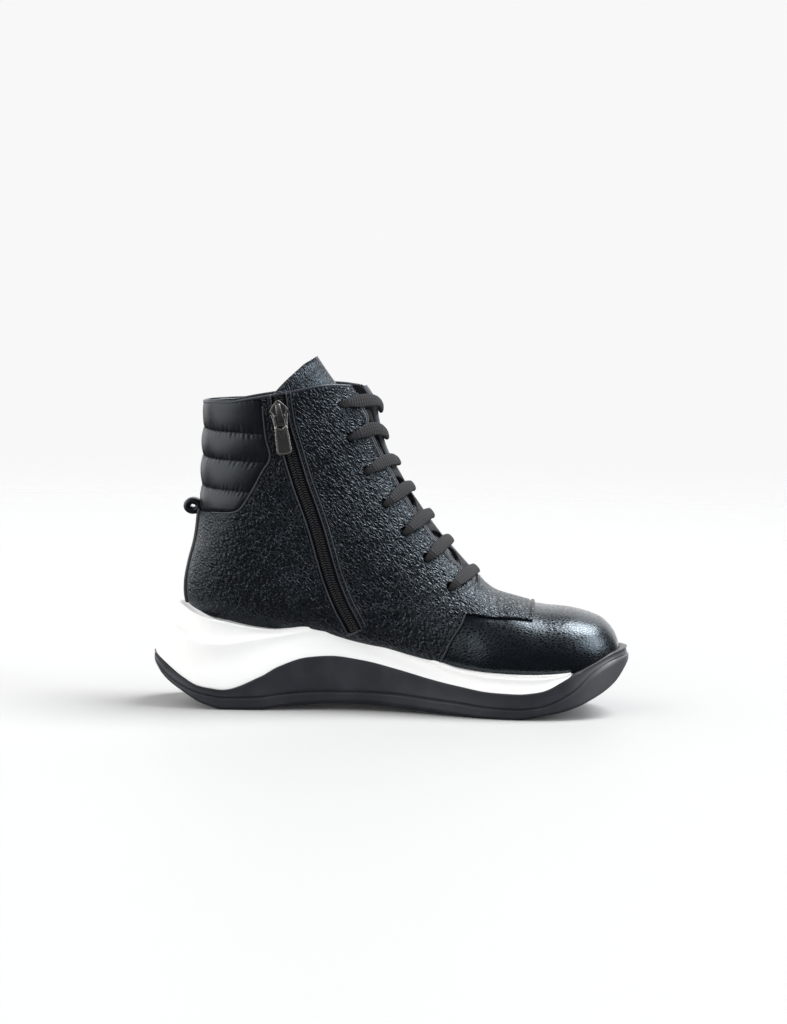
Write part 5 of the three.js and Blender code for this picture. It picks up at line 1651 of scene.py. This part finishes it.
def facing_beads():
    """Two thin lines up each side of the throat: the cut edge and the folded edge beside it."""
    parts = []
    for side in (-1, 1):
        for inset, offset, width, height in ((0.1, -1.15, 0.9, 2.9), (1.8, 0.05, 0.7, 0.7)):
            path, normals = throat_path(side, inset * MM, offset * MM)
            parts.append(sweep_parts(path, normals, oval(width * MM, height * MM, 10)))
    return joined(parts)


# These beads wear a lighter grey than the leather, as a painted highlight along the edges.
edge_beads = as_piece("folded_edges", *beads(), weld=False)
dressed(edge_beads, edge_highlight_finish)
# The throat edges wear a pale grey, as a painted highlight.
facing_trim = as_piece("facing_edges", *facing_beads(), weld=False)
dressed(facing_trim, trim_highlight_finish)

# %% Stitches


def stitched(path, normals, pitch=2.6 * MM, size=(2.1, 0.55, 0.5)):
    """Stitches at an even pitch along a path."""
    done = run_length(path)
    marks = np.arange(pitch / 2, done[-1], pitch)
    places, outward, along = (read_at(marks, done, data) for data in (path, normals, tangents(path)))
    return scattered(places, unit(along), unit(outward), np.array(size) * MM)


def quilt_paths():
    """Lines round the back, one in each channel of the collar pad."""
    around = np.linspace(-0.97, 0.97, 160)
    for line in QUILT_LINES:
        s, turn, _ = pad_place(around, line + quilt_tilt(around))
        yield offset_point(s, turn, PAD_SINK + 0.2 * MM), last_normal(s, turn)


def all_stitches():
    """Stitches in the pad's channels, beside the zip, along the throat, the seam and the pad."""
    parts = [stitched(*path, pitch=3.0 * MM, size=(2.4, 0.6, 0.5)) for path in quilt_paths()]
    for reach in (-ZIP_GAP / 2 - 1.7 * MM, ZIP_GAP / 2 + 1.2 * MM, ZIP_GAP / 2 + 3.9 * MM):
        parts.append(stitched(*on_side(beside(ZIP_LINE, reach), -1, 0.08 * MM)))
    for side in (-1, 1):
        parts.append(stitched(*throat_path(side, 3.4 * MM, 0.05 * MM)))
        for line, reach in ((QUARTER_SEAM, -2.2 * MM), (PAD_EDGE, 2.0 * MM)):
            parts.append(stitched(*on_side(beside(line, reach), side, 0.05 * MM)))
    return joined(parts)


# The stitches are a dark grey that partly stands for a painted highlight.
stitch_points, stitch_faces, _ = all_stitches()
stitches = as_piece("stitching", stitch_points, stitch_faces, weld=False)
dressed(stitches, thread_highlight_finish)

# %% [markdown]
# ## Inside
# The insole is a thin cushion on the sole inside the boot. It is only seen from above.

# %% Insole


def insole_surface():
    """A sheet over the low end of the sections, from heel to toe."""
    s = np.linspace(1.2, 18.2, 110)[:, None]
    across = np.linspace(-1, 1, 44)[None]
    turn = np.where(across < 0, -1, 1) * (1 - 0.27 * np.abs(across))
    return offset_point(s, turn, -WALL - 4.3 * MM), offset_point(s, turn, -WALL - 0.4 * MM)


insole = shell("insole_board", *insole_surface())
dressed(insole, lining_finish, replaces=["insole"])

# %% [markdown]
# ## Stage and light
# The floor is a pale disc that fades out, so it meets the pale air without a line. The lights are
# far and broad, so the floor is lit evenly: one from above, one from each end, two rim lights from
# behind that cast no shadow, and a fill that leaves no shine on the leather.

# %% Floor, lights and air
FLOOR_RADIUS = 4.0
FLOOR_TONE = 0.462


def floor_disc():
    """Rings of growing radius round a middle point."""
    angle = np.arange(96) * 2 * np.pi / 96
    radii = np.array([0.3, 1.0, 2.2, FLOOR_RADIUS])
    rings = np.stack([np.cos(angle)[None] * radii[:, None], np.sin(angle)[None] * radii[:, None],
                      np.zeros((4, 96))], -1)
    points = np.concatenate([rings.reshape(-1, 3), [[0, 0, 0]]])
    k = np.arange(96)
    faces = list(grid_faces(4, 96, ring=True)) + list(np.stack([np.full(96, 4 * 96), k, (k + 1) % 96], -1))
    mesh = bpy.data.meshes.new("floor")
    mesh.from_pydata(points.tolist(), [], [list(map(int, face)) for face in faces])
    floor = bpy.data.objects.new("floor", mesh)
    ROOM.objects.link(floor)
    return floor


def floor_finish():
    """A pale matt colour whose alpha falls from 1 to 0 with the distance from the boot."""
    finish = Finish("floor_pale")
    away = finish.node("VectorMath", {"operation": "LENGTH"}, out="Value", Vector=finish.coordinates())
    return finish.surface(Base_Color=(FLOOR_TONE, FLOOR_TONE, FLOOR_TONE, 1), Roughness=0.6,
                          Specular_IOR_Level=0.2, Alpha=1 - away.step(0.6, 2.4))


floor = floor_disc()
floor.data.materials.append(floor_finish())
floor.visible_glossy = False
floor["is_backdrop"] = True


def sun(name, azimuth, elevation, power, spread, tint=(1, 1, 1), shiny=True):
    """A far light, with its angles, power and spread in degrees."""
    light = bpy.data.lights.new(name, "SUN")
    light.energy = power
    light.angle = math.radians(spread)
    light.color = tint
    holder = bpy.data.objects.new(name, light)
    holder.rotation_euler = direction(azimuth, elevation).to_track_quat("Z", "Y").to_euler()
    holder.visible_glossy = shiny
    ROOM.objects.link(holder)
    return light


sun("light_top", 112, 62, 3.9, 32)
sun("light_heel", -70, 20, 2.2, 74, (1.0, 0.99, 0.97))
sun("light_toe", 78, 29, 1.9, 40, (0.94, 0.97, 1.0))
sun("light_back", 172, 14, 1.1, 60).use_shadow = False
sun("light_heel_rim", -134, 18, 0.9, 50).use_shadow = False
sun("light_fill", -5, 34, 1.45, 80, shiny=False)

air = Finish("air", bpy.data.worlds)
lit = air.node("Background", Color=(0.86, 0.90, 1.0, 1), Strength=0.06)
seen = air.node("Background", Color=(0.939, 0.939, 0.939, 1))
mixed = air.node("MixShader", ends=(air.node("LightPath", out="Is Camera Ray"), lit, seen))
bpy.context.scene.world = air.ended(mixed, "OutputWorld")
bpy.context.scene.view_settings.view_transform = "Standard"

# %% Sizes and the end
seen_low, seen_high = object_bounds()
sizes = {"cad": [list(cad_low), list(cad_high)], "visual": [list(seen_low), list(seen_high)]}
for name, box in sizes.items():
    print(name, "box in mm:", [[round(v / MM, 1) for v in corner] for corner in box])
